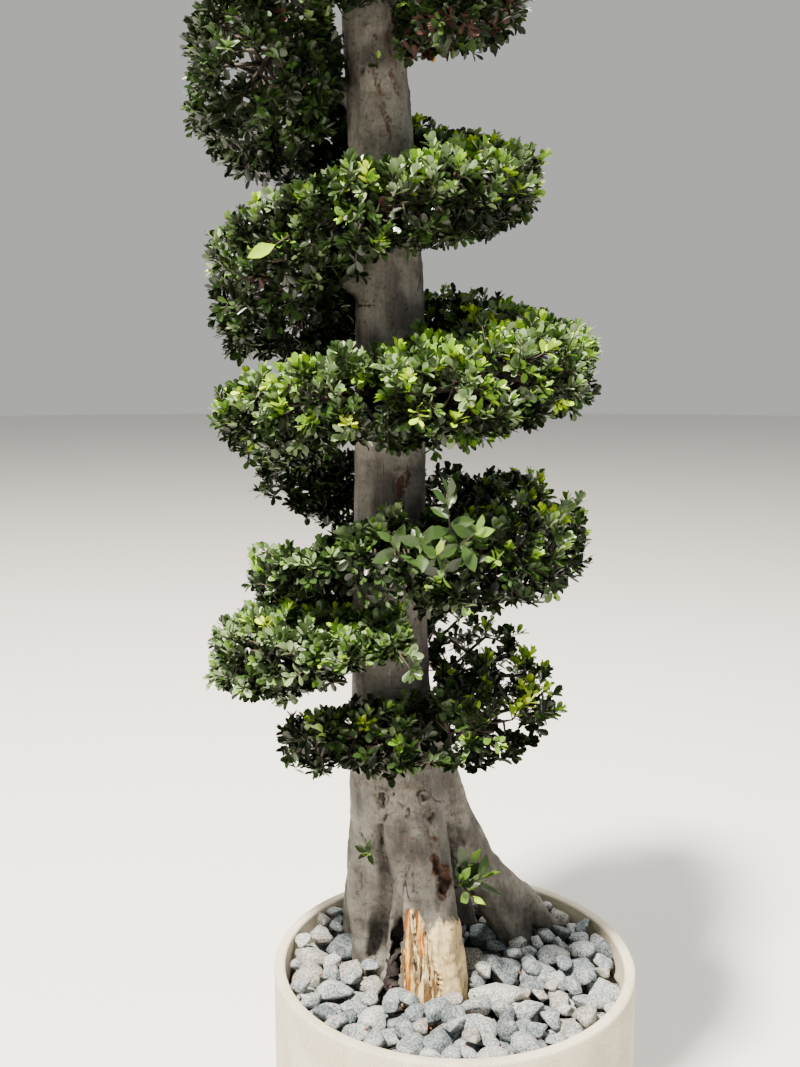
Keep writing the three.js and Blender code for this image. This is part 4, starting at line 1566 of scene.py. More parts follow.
@dataclass
class SpiralRoom:
    """The room that one clump of the spiral keeps to.

    Its points are given by three shares from -1 to 1: out from the trunk, along the spiral, and up.
    Towards each end its size blends with its neighbour's, and an end with no neighbour is rounded.
    """

    own: ClumpSize
    before: ClumpSize | None
    after: ClumpSize | None
    # How far the room's inner side is from the bark, and how near to the bark its leaves may come
    standoff: float = 0.014
    clearance: float = 0.004
    # Of a rounded square: its rim over width plus height, and its area over half width times half height
    rim_share: float = 1.86
    end_share: float = 3.4
    # How many shoots there are at least along it and round it, and how far each is off its place, in steps
    least: tuple[int, int] = (2, 6)
    jitter: float = 0.42
    # Where along the room the shoots of an end are, and how far off, across, along and up
    end_at: float = 0.93
    end_jitter: float = 0.05
    end_spread: tuple[float, float, float] = (1.0, 0.6, 1.0)
    # How far ribs are off their places, along the room and round it
    rib_along: float = 0.1
    rib_round: float = 0.09

    @property
    def turn(self) -> float:
        """The turn of its middle."""
        return FIRST_START + self.own.step * CLUMP_STEP + CLUMP_SPAN * (self.own.start + self.own.end) / 2

    @property
    def half_turn(self) -> float:
        """Half of what it spans, in turns."""
        return CLUMP_SPAN * (self.own.end - self.own.start) / 2

    def section(self, turn: np.ndarray) -> dict[str, np.ndarray]:
        """The room's section at each turn.

        Args:
            turn: turns of the spiral.

        Returns:
            Its middle's height and distance from the trunk, its half sizes, and the trunk's place and radius.
        """
        sizes = {key: np.full(turn.shape, getattr(self.own, key)) for key in ("lift", "reach", "depth")}
        for neighbour in filter(None, (self.before, self.after or self.own.tail)):
            share = smooth_step(turn, self.own.size_turn, neighbour.size_turn)
            for key, values in sizes.items():
                values += share * (getattr(neighbour, key) - getattr(self.own, key))
        height = FRONT_HEIGHT + TURN_RISE * turn + sizes["lift"]
        trunk_x, trunk_radius = trunk_at(height)
        inner = trunk_radius + self.standoff
        middle = (inner + sizes["reach"]) / 2
        return {
            "height": height,
            "middle": middle,
            "half_out": middle - inner,
            "half_up": sizes["depth"] / 2,
            "trunk_x": trunk_x,
            "trunk_radius": trunk_radius,
        }

    def narrowing(self, along: np.ndarray) -> np.ndarray:
        """How much of its girth the room has, which is less at a free end.

        Args:
            along: shares along the room.

        Returns:
            Shares of the girth.
        """
        free = np.where(along < 0, self.before is None, self.after is None)
        rounded = np.clip(1 - np.abs(along) ** END_SQUARENESS, LEAST_GIRTH, 1) ** (1 / END_SQUARENESS)
        return np.where(free, rounded, 1.0)

    def place(self, share: np.ndarray, inset: np.ndarray | float = 0.0) -> np.ndarray:
        """Points in the room.

        Args:
            share: rows of shares out, along and up.
            inset: how far inside its surface the room is taken to end.

        Returns:
            One point for each row.
        """
        turn = self.turn + share[:, 1] * self.half_turn
        at = self.section(turn)
        girth = self.narrowing(share[:, 1])
        out = at["middle"] + share[:, 0] * np.maximum(at["half_out"] - inset, LEAST_HALF) * girth
        up = share[:, 2] * np.maximum(at["half_up"] - inset, LEAST_HALF) * girth
        angle = TAU * (turn - 0.25)
        x = at["trunk_x"] + out * np.cos(angle)
        y = TRUNK_BACK + out * np.sin(angle)
        return np.stack([x, y, at["height"] + up], axis=1)

    def beyond(self, points: np.ndarray) -> np.ndarray:
        """How far outside the room points are.

        Args:
            points: three numbers to a row.

        Returns:
            A distance for each, in metres, which is below 0 inside the room.
        """
        turn_x, _radius = trunk_at(np.array([FRONT_HEIGHT + TURN_RISE * self.turn + self.own.lift]))
        turn = np.arctan2(points[:, 1] - TRUNK_BACK, points[:, 0] - turn_x) / TAU + 0.25
        turn = turn + np.round(self.turn - turn)
        at = self.section(turn)
        distance = np.hypot(points[:, 0] - at["trunk_x"], points[:, 1] - TRUNK_BACK)
        along = (turn - self.turn) / self.half_turn
        girth = self.narrowing(np.clip(along, -1, 1))
        out = (distance - at["middle"]) / (at["half_out"] * girth)
        up = (points[:, 2] - at["height"]) / (at["half_up"] * girth)
        sideways = (power_sum(out, up, SQUARENESS) - 1) * np.minimum(at["half_out"], at["half_up"]) * girth
        endways = (np.abs(along) - 1) * self.half_turn * TAU * at["middle"]
        trunk_side = at["trunk_radius"] + self.clearance - distance
        return np.maximum(np.maximum(sideways, endways), np.where(trunk_side > 0, 1.0, -1.0))

    def girth_points(self, share: np.ndarray, along: np.ndarray) -> np.ndarray:
        """Points on the rim of the room's section, at even steps of length round it.

        Args:
            share: how far round the rim, from 0 to 1.
            along: shares along the room.

        Returns:
            Rows of shares out, along and up.
        """
        angle = np.linspace(0, TAU, 181)
        rim = np.stack([np.cos(angle), np.sin(angle)], axis=1)
        rim /= power_sum(rim[:, 0], rim[:, 1], SQUARENESS)[:, None]
        at = self.section(np.array([self.turn]))
        size = np.array([at["half_out"][0], at["half_up"][0]])
        steps = np.linalg.norm(np.diff(rim * size, axis=0), axis=1)
        length = np.concatenate([[0], np.cumsum(steps)])
        where = share * length[-1]
        out, up = (np.interp(where, length, side) for side in rim.T)
        return np.stack([out, along, up], axis=1)

    def surface(self, spacing: float, random: np.random.Generator) -> np.ndarray:
        """Shares spread evenly over the room's surface, and over its free ends.

        Args:
            spacing: how far apart they are.
            random: the seeded draws.

        Returns:
            Rows of shares.
        """
        at = self.section(np.array([self.turn]))
        half = np.array([at["half_out"][0], at["half_up"][0]])
        columns = max(self.least[0], round(2 * self.half_turn * TAU * at["middle"][0] / spacing))
        rows = max(self.least[1], round(self.rim_share * 2 * half.sum() / spacing))
        column, row = np.meshgrid(np.arange(columns), np.arange(rows), indexing="ij")
        column, row = column.ravel(), row.ravel()
        jitter = random.uniform(-self.jitter, self.jitter, (2, len(row)))
        along = 2 * (column + 0.5 + jitter[0]) / columns - 1
        share = ((row + 0.5 * (column % 2) + jitter[1]) / rows) % 1
        shares = [self.girth_points(share, along)]
        for end, neighbour in ((-1, self.before), (1, self.after)):
            if neighbour is None:
                count = round(self.end_share * half.prod() / spacing**2)
                radius = np.sqrt((np.arange(count) + 0.5) / count)
                angle = TAU * GOLDEN * np.arange(count)
                flat = np.stack([np.cos(angle), np.sin(angle)], axis=1)
                flat *= (radius / power_sum(flat[:, 0], flat[:, 1], SQUARENESS))[:, None]
                cap = np.stack([flat[:, 0], np.full(count, self.end_at * end), flat[:, 1]], axis=1)
                off = random.uniform(-self.end_jitter, self.end_jitter, cap.shape)
                shares.append(cap + off * self.end_spread)
        return np.concatenate(shares)

    def spine(self, steps: int) -> np.ndarray:
        """Points along the middle of the room, from one end to the other."""
        along = np.linspace(-WOODY_SHARE, WOODY_SHARE, steps)
        return self.place(np.stack([np.zeros(steps), along, np.zeros(steps)], axis=1))

    def ribs(self, count: int, random: np.random.Generator) -> np.ndarray:
        """Points half way out from the spine to the surface, all round and along.

        Args:
            count: how many places along the spine have ribs.
            random: the seeded draws.

        Returns:
            One point to a row.
        """
        total = RIBS_ROUND * count
        along = np.repeat(np.linspace(-WOODY_SHARE, WOODY_SHARE, count), RIBS_ROUND)
        along = along + random.uniform(-self.rib_along, self.rib_along, total)
        share = np.tile(np.arange(RIBS_ROUND), count) / RIBS_ROUND
        share = (share + random.uniform(-self.rib_round, self.rib_round, total)) % 1
        shares = self.girth_points(share, along)
        shares[:, [0, 2]] *= RIB_REACH
        return self.place(shares)

    def start(self) -> np.ndarray:
        """Where the bough's tip enters the room."""
        return self.place(np.array([[-1.0, 0.0, 0.0]]), 0.0)[0]


@dataclass
class BallRoom:
    """A rounded room with straight axes, for the tuft at the tree's tip."""

    centre: np.ndarray
    half: np.ndarray
    foot: np.ndarray
    turn_off: float = 0.2
    rib_spacing: float = 0.09
    # Shares of its height over its middle between which its wood stands
    wood: tuple[float, float] = (-0.75, 0.5)

    def place(self, share: np.ndarray, inset: np.ndarray | float = 0.0) -> np.ndarray:
        """Points in the room.

        Args:
            share: rows of shares across, back and up.
            inset: how far inside its surface the room is taken to end.

        Returns:
            One point for each row.
        """
        inset = np.broadcast_to(inset, len(share))
        return self.centre + share * np.maximum(self.half - inset[:, None], LEAST_HALF)

    def beyond(self, points: np.ndarray) -> np.ndarray:
        """How far outside the room each point is, in metres, or below 0 inside it."""
        return (np.linalg.norm((points - self.centre) / self.half, axis=1) - 1) * self.half.min()

    def surface(self, spacing: float, random: np.random.Generator) -> np.ndarray:
        """Shares spread evenly over the room's surface, by the sunflower rule.

        Args:
            spacing: how far apart they are.
            random: the seeded draws.

        Returns:
            Rows of shares.
        """
        count = round(2 * TAU * float(self.half.mean()) ** 2 / spacing**2)
        number = np.arange(count)
        up = 1 - 2 * (number + 0.5) / count
        angle = TAU * GOLDEN * number + random.uniform(-self.turn_off, self.turn_off, count)
        flat = np.sqrt(1 - up**2)
        return np.stack([flat * np.cos(angle), flat * np.sin(angle), up], axis=1)

    def spine(self, steps: int) -> np.ndarray:
        """Points up the middle of the room."""
        rise = np.linspace(*self.wood, steps)
        return self.centre + rise[:, None] * UP * self.half[2]

    def ribs(self, count: int, random: np.random.Generator) -> np.ndarray:
        """Points half way out from the middle to the surface."""
        return self.place(RIB_REACH * self.surface(self.rib_spacing, random))

    def start(self) -> np.ndarray:
        """Where the trunk's tip enters the room."""
        return self.foot


@dataclass(frozen=True)
class LeafShape:
    """A leaf's outline: points along it and shares of its half width, its width, fold and droop."""

    along: tuple[float, ...]
    across: tuple[float, ...]
    width: float
    fold: float
    droop: float
    middle: float | None = None

    def template(self) -> tuple[np.ndarray, np.ndarray]:
        """The flat leaf of length 1.

        Returns:
            Rows of share along and share across, and triangles that face up. They all meet at its middle, or
            at its root where it has no middle.
        """
        side = np.stack([self.along, self.across], axis=1)
        count = len(side)
        ends = [[0.0, 0.0], [1.0, 0.0]]
        if self.middle is not None:
            ends.append([self.middle, 0.0])
        first = len(ends)
        left = [*range(first, first + count), 1]
        right = [*range(first + count, first + 2 * count), 1]
        hub = 0
        if self.middle is not None:
            left, right, hub = [0, *left], [0, *right], 2
        triangles = [(a, hub, b) for a, b in zip(left, left[1:])]
        triangles += [(b, hub, a) for a, b in zip(right, right[1:])]
        return np.concatenate([ends, side, side * (1, -1)]), np.array(triangles)


ROUND_LEAF = LeafShape((0.30, 0.63, 0.89), (0.62, 1.0, 0.68), 0.55, 0.34, 0.1)
LONG_LEAF = LeafShape((0.16, 0.38, 0.64, 0.86), (0.42, 0.92, 0.94, 0.46), 0.46, 0.28, 0.16, 0.46)


def crosswise(headings: np.ndarray) -> tuple[np.ndarray, np.ndarray]:
    """Two directions that are square to each heading and to each other.

    Args:
        headings: vectors of length 1, one to a row.

    Returns:
        The first and the second direction of each.
    """
    reference = np.where(np.abs(headings[:, 2:]) > 0.9, [[1.0, 0.0, 0.0]], UP)
    first = unit(np.cross(headings, reference))
    return first, np.cross(headings, first)


@dataclass
class LeafPile:
    """Leaves gathered to be joined into one mesh, which vary in width, fold, droop and twist."""

    shape: LeafShape
    seed: int
    batches: list[tuple[np.ndarray, ...]] = field(default_factory=list)
    # Ranges of shares of the shape's width, fold and droop, and of its twist
    widths: tuple[float, float] = (0.88, 1.12)
    folds: tuple[float, float] = (0.2, 1.3)
    droops: tuple[float, float] = (-0.3, 2.0)
    twists: tuple[float, float] = (-0.12, 0.12)

    def add(self, *rows: np.ndarray) -> None:
        """Adds leaves, one to a row: their roots, directions, the ways they face, lengths and tones."""
        self.batches.append(rows)

    def build(self, name: str) -> bpy.types.Object:
        """Joins the leaves.

        Args:
            name: the piece's name.

        Returns:
            The piece, with a finish number for each tone.
        """
        random = np.random.default_rng(self.seed)
        root, direction, facing, length, tone = (np.concatenate(rows) for rows in zip(*self.batches))
        direction = unit(direction)
        across = unit(np.cross(facing, direction))
        normal = np.cross(direction, across)
        count = len(root)
        shape, triangles = self.shape.template()
        width = self.shape.width * length * random.uniform(*self.widths, count) / 2
        fold = self.shape.fold * random.uniform(*self.folds, count)
        droop = self.shape.droop * random.uniform(*self.droops, count)
        twist = random.uniform(*self.twists, count)
        u, v = shape[:, 0], shape[:, 1]
        lift = np.abs(v) * (fold * width)[:, None] - u**2 * (droop * length)[:, None]
        lift += (u * v) * (twist * length)[:, None]
        vertices = root[:, None] + direction[:, None] * (u * length[:, None])[..., None]
        vertices += across[:, None] * (v * width[:, None])[..., None] + normal[:, None] * lift[..., None]
        faces = triangles[None] + (len(shape) * np.arange(count))[:, None, None]
        finish_index = np.repeat(tone, len(triangles))
        return triangle_mesh(name, vertices.reshape(-1, 3), faces.reshape(-1, 3), finish_index)


# Triangles of a prism whose corners are numbered from 0 round its first end and from 3 round its second
PRISM = np.array([[0, 2, 1], [3, 4, 5], [0, 1, 4], [0, 4, 3], [1, 2, 5], [1, 5, 4], [2, 0, 3], [2, 3, 5]])


@dataclass
class TwigPile:
    """Three-sided tapering twigs gathered to be joined into one mesh."""

    batches: list[tuple[np.ndarray, ...]] = field(default_factory=list)

    def add(self, start: np.ndarray, end: np.ndarray, thick: float, thin: float) -> None:
        """Adds twigs from start to end, one to a row, thick at the start and thin at the end."""
        self.batches.append((start, end, np.tile([thick, thin], (len(start), 1))))

    def build(self, name: str) -> bpy.types.Object:
        """Joins the twigs.

        Args:
            name: the piece's name.

        Returns:
            The piece.
        """
        start, end, radii = (np.concatenate(rows) for rows in zip(*self.batches))
        first, second = crosswise(unit(end - start))
        rings = []
        for point, radius in ((start, radii[:, 0]), (end, radii[:, 1])):
            for angle in TAU * np.arange(3) / 3:
                side = first * math.cos(angle) + second * math.sin(angle)
                rings.append(point + side * radius[:, None])
        faces = PRISM[None] + (len(rings) * np.arange(len(start)))[:, None, None]
        return triangle_mesh(name, np.stack(rings, axis=1).reshape(-1, 3), faces.reshape(-1, 3))


@dataclass(frozen=True)
class GrowthFinishes:
    """The materials of growth: those of leaves, one for each tone, and that of twigs."""

    leaves: list[bpy.types.Material]
    twigs: bpy.types.Material

    def build(self, leaves: LeafPile, twigs: TwigPile, label: str, slot: Slot, node: str) -> None:
        """Builds leaves and twigs as two pieces that stand for a node.

        Args:
            leaves: the leaves.
            twigs: the twigs that bear them.
            label: how the pieces' names start.
            slot: the record's material slot of the leaves.
            node: the node.
        """
        seat(leaves.build(label + "_leaves"), self.leaves, slot, node)
        seat(twigs.build(label + "_twigs"), [self.twigs], Slot.BARK, node)


def nearest(points: np.ndarray, choices: np.ndarray) -> np.ndarray:
    """For each point, the choice that lies nearest to it."""
    apart = np.linalg.norm(points[:, None] - choices[None], axis=2)
    return choices[np.argmin(apart, axis=1)]


@dataclass(frozen=True)
class Shoots:
    """Ends of shoots: tips, headings, full-grown leaf length, and the tones of older and youngest leaves."""

    tips: np.ndarray
    headings: np.ndarray
    leaf: float
    tone: np.ndarray
    young_tone: np.ndarray


@dataclass(frozen=True)
class Rosette:
    """Leaves round the end of a shoot, the youngest in the middle, by the rule of golden turns."""

    leaves: int = 9
    leans: tuple[float, float] = (0.3, 1.2)
    pitch: float = 0.0032
    # Where its leaves face, besides the way that the shoot points
    towards: tuple[float, float, float] = (0.0, 0.0, 1.0)
    heading_share: float = 0.6
    young: int = 2
    young_size: float = 0.6
    grown_from: float = 2.5
    lift: float = 0.3
    # How far leaves are off their even turn and lean, in radians, and off where they face, and their lengths
    turn_off: float = 0.3
    lean_off: float = 0.25
    unevenness: float = 0.5
    lengths: tuple[float, float] = (0.8, 1.15)

    def grow(
        self,
        pile: LeafPile,
        shoots: Shoots,
        random: np.random.Generator,
        allowed: Callable[[np.ndarray], np.ndarray] | None = None,
    ) -> None:
        """Grows a rosette on each shoot.

        Args:
            pile: where the leaves go.
            shoots: the shoots that bear them.
            random: the seeded draws.
            allowed: tells whether each shoot's leaf may reach a point, or nothing where all may.
        """
        headings, count = shoots.headings, len(shoots.tips)
        first, second = crosswise(headings)
        start = random.uniform(0, TAU, count)
        for rank in range(self.leaves):
            age = rank / max(self.leaves - 1, 1)
            angle = start + rank * TAU * GOLDEN + random.uniform(-self.turn_off, self.turn_off, count)
            lean = self.leans[0] + (self.leans[1] - self.leans[0]) * age
            lean = lean + random.uniform(-self.lean_off, self.lean_off, count)
            side = first * np.cos(angle)[:, None] + second * np.sin(angle)[:, None]
            direction = headings * np.cos(lean)[:, None] + side * np.sin(lean)[:, None]
            direction = unit(direction + self.lift * UP)
            uneven = random.uniform(-self.unevenness, self.unevenness, (count, 3))
            facing = unit(self.heading_share * headings + np.array(self.towards) + uneven)
            grown = self.young_size + (1 - self.young_size) * min(1.0, rank / self.grown_from)
            length = shoots.leaf * grown * random.uniform(*self.lengths, count)
            root = shoots.tips - headings * (rank * self.pitch)
            kept = np.ones(count, bool)
            if allowed is not None:
                for share in (1.0, 0.6):
                    kept &= allowed(root + share * direction * length[:, None])
            tone = shoots.young_tone if rank < self.young else shoots.tone
            pile.add(root[kept], direction[kept], facing[kept], length[kept], tone[kept])


# Tone of the youngest leaves of a shoot whose other leaves have the first tone
FRESHER = {LeafTone.WAXED: LeafTone.FRESH, LeafTone.FRESH: LeafTone.LIME, LeafTone.LIME: LeafTone.TIP}


@dataclass
class Foliage:
    """One mass of foliage: a stem, a spine, ribs, and shoots all over its room with a rosette on each."""

    label: str
    room: SpiralRoom | BallRoom
    seed: int
    habit: Habit = Habit()
    outer_inset: float = 0.020
    inner_inset: float = 0.046
    slack: float = 0.007
    bulge: float = 0.020
    cloud_size: float = 0.055
    jitter: float = 0.010
    # The share of shoots that outgrow the rest, and by how much
    strays: float = 0.05
    stray: float = 0.018
    # Radii of its wood, and how many points its spine and its ribs run through
    stem: float = 0.008
    spine: float = 0.006
    rib: float = 0.0035
    twig: float = 0.0016
    steps: int = 9
    # One shoot in so many has a fork below it, by this share of the way to its rib and this much lower
    fork_every: int = 4
    fork_share: float = 0.45
    fork_drop: float = 0.014
    # How much more painted shade a shoot gets for each metre that it ends further inside
    gloom: float = 12.0
    # How bright its painted light is at its middle, and how much brighter it is painted at its top and its
    # outer side, of 1
    brightness: float = 0.36
    top_light: float = 0.62
    outer_light: float = 0.12

    def tones(
        self, shares: np.ndarray, insets: np.ndarray, random: np.random.Generator
    ) -> tuple[np.ndarray, np.ndarray]:
        """Deals out a tone to each shoot by how much light its place gets, so painting light and shade into
        the leaves: high, outer and bright shoots take the pale sheened and young greens, low, inner and
        shaded ones the dark shaded green.

        Args:
            shares: the shoots' shares of the room.
            insets: how far inside the room's surface each ends.
            random: the seeded draws.

        Returns:
            The number of the tone of each shoot's leaves, and of its youngest two.
        """
        shaded = self.gloom * (insets - self.outer_inset)
        habit, even = self.habit, np.ones(len(shares))
        # Painted light: brighter at the top and the outer side, darker inside and in shaded clumps
        bright = self.brightness + self.top_light * shares[:, 2] + self.outer_light * shares[:, 0]
        bright = np.clip(bright - shaded - habit.shade, 0, 1)
        weights = {
            LeafTone.DEEP: 2.2 * (1.1 - bright),
            LeafTone.MATURE: 0.8 * even,
            LeafTone.WAXED: habit.wax_sheen * (0.12 + 1.2 * bright**1.4),
            LeafTone.FRESH: 0.6 * habit.youth * bright,
            LeafTone.LIME: 0.24 * habit.youth * bright**2,
            LeafTone.TIP: 0.05 * habit.youth * bright**3,
            LeafTone.DRY: habit.dry * even,
            LeafTone.AMBER: 0.04 * habit.dry * even,
        }
        edges = np.cumsum(np.stack([weights[tone] for tone in LeafTone], axis=1), axis=1)
        draw = random.uniform(0, 1, len(shares)) * edges[:, -1]
        tone = (draw[:, None] > edges).sum(axis=1)
        younger = np.array([FRESHER.get(one, one).number for one in LeafTone])
        return tone, younger[tone]

    def spots(self, random: np.random.Generator) -> tuple[np.ndarray, np.ndarray, np.ndarray]:
        """Chooses where shoots end, with openings and tufts where a cloudy noise is low and high.

        Args:
            random: the seeded draws.

        Returns:
            Their shares of the room, how far inside its surface they end, and how far out leaves may reach.
        """
        habit = self.habit
        outer = self.room.surface(habit.spacing, random)
        inner = self.room.surface(habit.spacing / math.sqrt(habit.inner), random)
        shares = np.concatenate([outer, inner])
        insets = np.repeat([self.outer_inset, self.inner_inset], [len(outer), len(inner)])
        cloud = rough(self.room.place(shares), self.cloud_size, self.seed)
        kept = cloud > habit.open_below
        shares, insets, cloud = shares[kept], insets[kept], cloud[kept]
        strayed = self.stray * (random.uniform(0, 1, len(insets)) < self.strays)
        out = self.bulge * cloud + strayed
        insets = insets - out + random.uniform(-self.jitter, self.jitter, len(insets))
        return shares, insets, self.slack + np.maximum(out, 0)

    def build(self, finishes: GrowthFinishes) -> None:
        """Builds the leaves and the twigs.

        Args:
            finishes: their materials.
        """
        random = np.random.default_rng(self.seed)
        spine, ribs = self.room.spine(self.steps), self.room.ribs(self.steps, random)
        shares, insets, slack = self.spots(random)
        tips = self.room.place(shares, insets)
        forked = tips[::self.fork_every]
        forks = forked + self.fork_share * (nearest(forked, ribs) - forked) - self.fork_drop * UP
        feet = nearest(tips, forks)
        leaves = LeafPile(ROUND_LEAF, self.seed + 1)
        shoots = Shoots(tips, unit(tips - feet), self.habit.leaf, *self.tones(shares, insets, random))
        Rosette().grow(leaves, shoots, random, lambda points: self.room.beyond(points) < slack)
        twigs = TwigPile()
        twigs.add(self.room.start()[None], spine[len(spine) // 2][None], self.stem, self.spine)
        twigs.add(spine[:-1], spine[1:], self.spine, self.spine)
        twigs.add(nearest(ribs, spine), ribs, 1.3 * self.rib, self.rib)
        twigs.add(nearest(forks, ribs), forks, 0.8 * self.rib, 1.2 * self.twig)
        twigs.add(feet, tips, self.twig, 0.6 * self.twig)
        finishes.build(leaves, twigs, self.label, Slot.FOLIAGE, self.label)


@dataclass(frozen=True)
class LargeShoot:
    """A strong shoot, in millimetres: its foot and tip, its number of leaves, their length and tones."""

    foot: tuple[float, float, float]
    tip: tuple[float, float, float]
    leaves: int
    leaf: float
    tone: LeafTone
    young_tone: LeafTone


@dataclass
class LargeShoots:
    """A group of strong shoots, joined into leaves and twigs."""

    label: str
    slot: Slot
    node: str
    seed: int
    shoots: tuple[LargeShoot, ...]
    shape: LeafShape = LONG_LEAF
    leafy_share: float = 0.7
    leans: tuple[float, float] = (0.3, 1.3)
    towards: tuple[float, float, float] = (0.0, -0.4, 0.6)
    radius: float = 0.0020

    def build(self, finishes: GrowthFinishes) -> None:
        """Builds the leaves and the twigs.

        Args:
            finishes: their materials.
        """
        random = np.random.default_rng(self.seed)
        leaves, twigs = LeafPile(self.shape, self.seed + 1), TwigPile()
        for shoot in self.shoots:
            foot, tip = MILLIMETRE * np.array([[shoot.foot], [shoot.tip]])
            length = float(np.linalg.norm(tip - foot))
            pitch = self.leafy_share * length / shoot.leaves
            rosette = Rosette(shoot.leaves, self.leans, pitch, self.towards)
            tones = np.array([[shoot.tone.number], [shoot.young_tone.number]])
            ends = Shoots(tip, (tip - foot) / length, MILLIMETRE * shoot.leaf, *tones)
            rosette.grow(leaves, ends, random)
            twigs.add(foot, tip, self.radius, self.radius / 2)
        finishes.build(leaves, twigs, self.label, self.slot, self.node)


@dataclass
class Spiral:
    """All the clumps of the spiral, and the tuft at its tip."""

    runs: tuple[tuple[ClumpSize, ...], ...] = (
        (
            ClumpSize(-7, 0.005, 0.245, 0.130),
            ClumpSize(-6, -0.060, 0.335, 0.150),
            ClumpSize(-5, -0.020, 0.330, 0.150),
        ),
        (
            ClumpSize(
                -4, -0.125, 0.365, 0.190, ahead=-0.08, tail=ClumpSize(-3, -0.114, 0.345, 0.082, ahead=-0.7)
            ),
        ),
        (ClumpSize(-4, 0.033, 0.280, 0.108, tail=ClumpSize(-3, 0.060, 0.300, 0.115, ahead=-0.5)),),
        (ClumpSize(-3, -0.020, 0.385, 0.180), ClumpSize(-2, -0.080, 0.395, 0.165)),
        (
            ClumpSize(-1, 0.025, 0.340, 0.155),
            ClumpSize(0, -0.015, 0.405, 0.200),
            ClumpSize(1, 0.000, 0.360, 0.180),
            ClumpSize(2, -0.035, 0.350, 0.270, ahead=-0.15),
            ClumpSize(3, 0.012, 0.300, 0.170, ahead=-0.56),
            ClumpSize(4, 0.005, 0.300, 0.175),
            ClumpSize(5, 0.025, 0.355, 0.285),
        ),
        (ClumpSize(6, 0.108, 0.240, 0.104, 0.0, 0.37),),
        (
            ClumpSize(6, 0.027, 0.295, 0.220, 0.5),
            ClumpSize(7, 0.045, 0.290, 0.165),
            ClumpSize(8, 0.040, 0.285, 0.180),
            ClumpSize(9, 0.030, 0.255, 0.160),
            ClumpSize(10, 0.015, 0.225, 0.140),
        ),
    )
    # Clumps whose growth, painted sheen and painted shade differ from the rest, by number from the lowest
    habits: Mapping[int, Habit] = field(default_factory=lambda: {
        1: Habit(spacing=0.029, inner=0.3, youth=0.4, wax_sheen=0.3, open_below=-0.2, shade=0.2),
        2: Habit(spacing=0.031, inner=0.25, youth=0.6, wax_sheen=0.2, open_below=-0.15, shade=0.15),
        3: Habit(spacing=0.030, inner=0.25, youth=0.4, wax_sheen=0.2, open_below=-0.12, shade=0.15),
        4: Habit(youth=0.4, wax_sheen=2.4, shade=-0.25),
        5: Habit(youth=0.35, wax_sheen=1.2, open_below=-0.35),
        6: Habit(youth=0.6, wax_sheen=0.5, shade=0.12),
        7: Habit(spacing=0.029, inner=0.25, youth=0.3, wax_sheen=0.3, open_below=-0.25, shade=0.35),
        8: Habit(youth=1.1, wax_sheen=1.4, shade=-0.26),
        9: Habit(youth=1.3, wax_sheen=1.2, open_below=-0.6, shade=-0.2),
        10: Habit(youth=0.9, wax_sheen=0.9, open_below=-0.6, shade=0.12),
        11: Habit(youth=0.45, wax_sheen=1.0, open_below=-0.35, shade=0.2),
        12: Habit(youth=1.0, wax_sheen=1.2, shade=-0.06),
        13: Habit(youth=0.9, wax_sheen=0.7, open_below=-0.6, shade=0.25),
        14: Habit(youth=0.35, wax_sheen=0.6, open_below=-0.32, shade=0.3),
        15: Habit(youth=0.5, shade=0.1),
        16: Habit(youth=0.5, dry=0.5, open_below=-0.3, shade=0.1),
        17: Habit(youth=0.6, dry=0.2),
    })
    crown_habit: Habit = Habit(youth=1.2)
    # Seeds: the lowest clump's is one step above the first, and the tuft's is well above them all
    seed: int = 100
    seed_step: int = 10
    crown_seed: int = 600

    def build(self, finishes: GrowthFinishes) -> None:
        """Builds every mass of foliage.

        Args:
            finishes: the materials of leaves and twigs.
        """
        number = 0
        for run in self.runs:
            for before, size, after in zip((None, *run), run, (*run[1:], None)):
                number += 1
                label, seed = f"clump_{number:02d}", self.seed + self.seed_step * number
                room, habit = SpiralRoom(size, before, after), self.habits.get(number, Habit())
                Foliage(label, room, seed, habit).build(finishes)
        tip_x, tip_z, _radius = TRUNK_LINE[-1]
        crown = BallRoom(CROWN_CENTRE, CROWN_HALF, np.array([tip_x, TRUNK_BACK, tip_z]))
        Foliage("crown_top", crown, self.crown_seed, self.crown_habit).build(finishes)


def hanging_shoots(count: int = 14) -> tuple[LargeShoot, ...]:
    """Short sprays side by side under a clump, each of which hangs down by one of four drops, in the dark
    green of painted shade.
    """
    return tuple(
        LargeShoot((x, -200, 1340), (x + 12, -240, 1312 - drop), 11, 24, LeafTone.DEEP, LeafTone.MATURE)
        for x, drop in zip(np.linspace(-200, -94, count), np.tile((0, 40, 18, 56), count))
    )


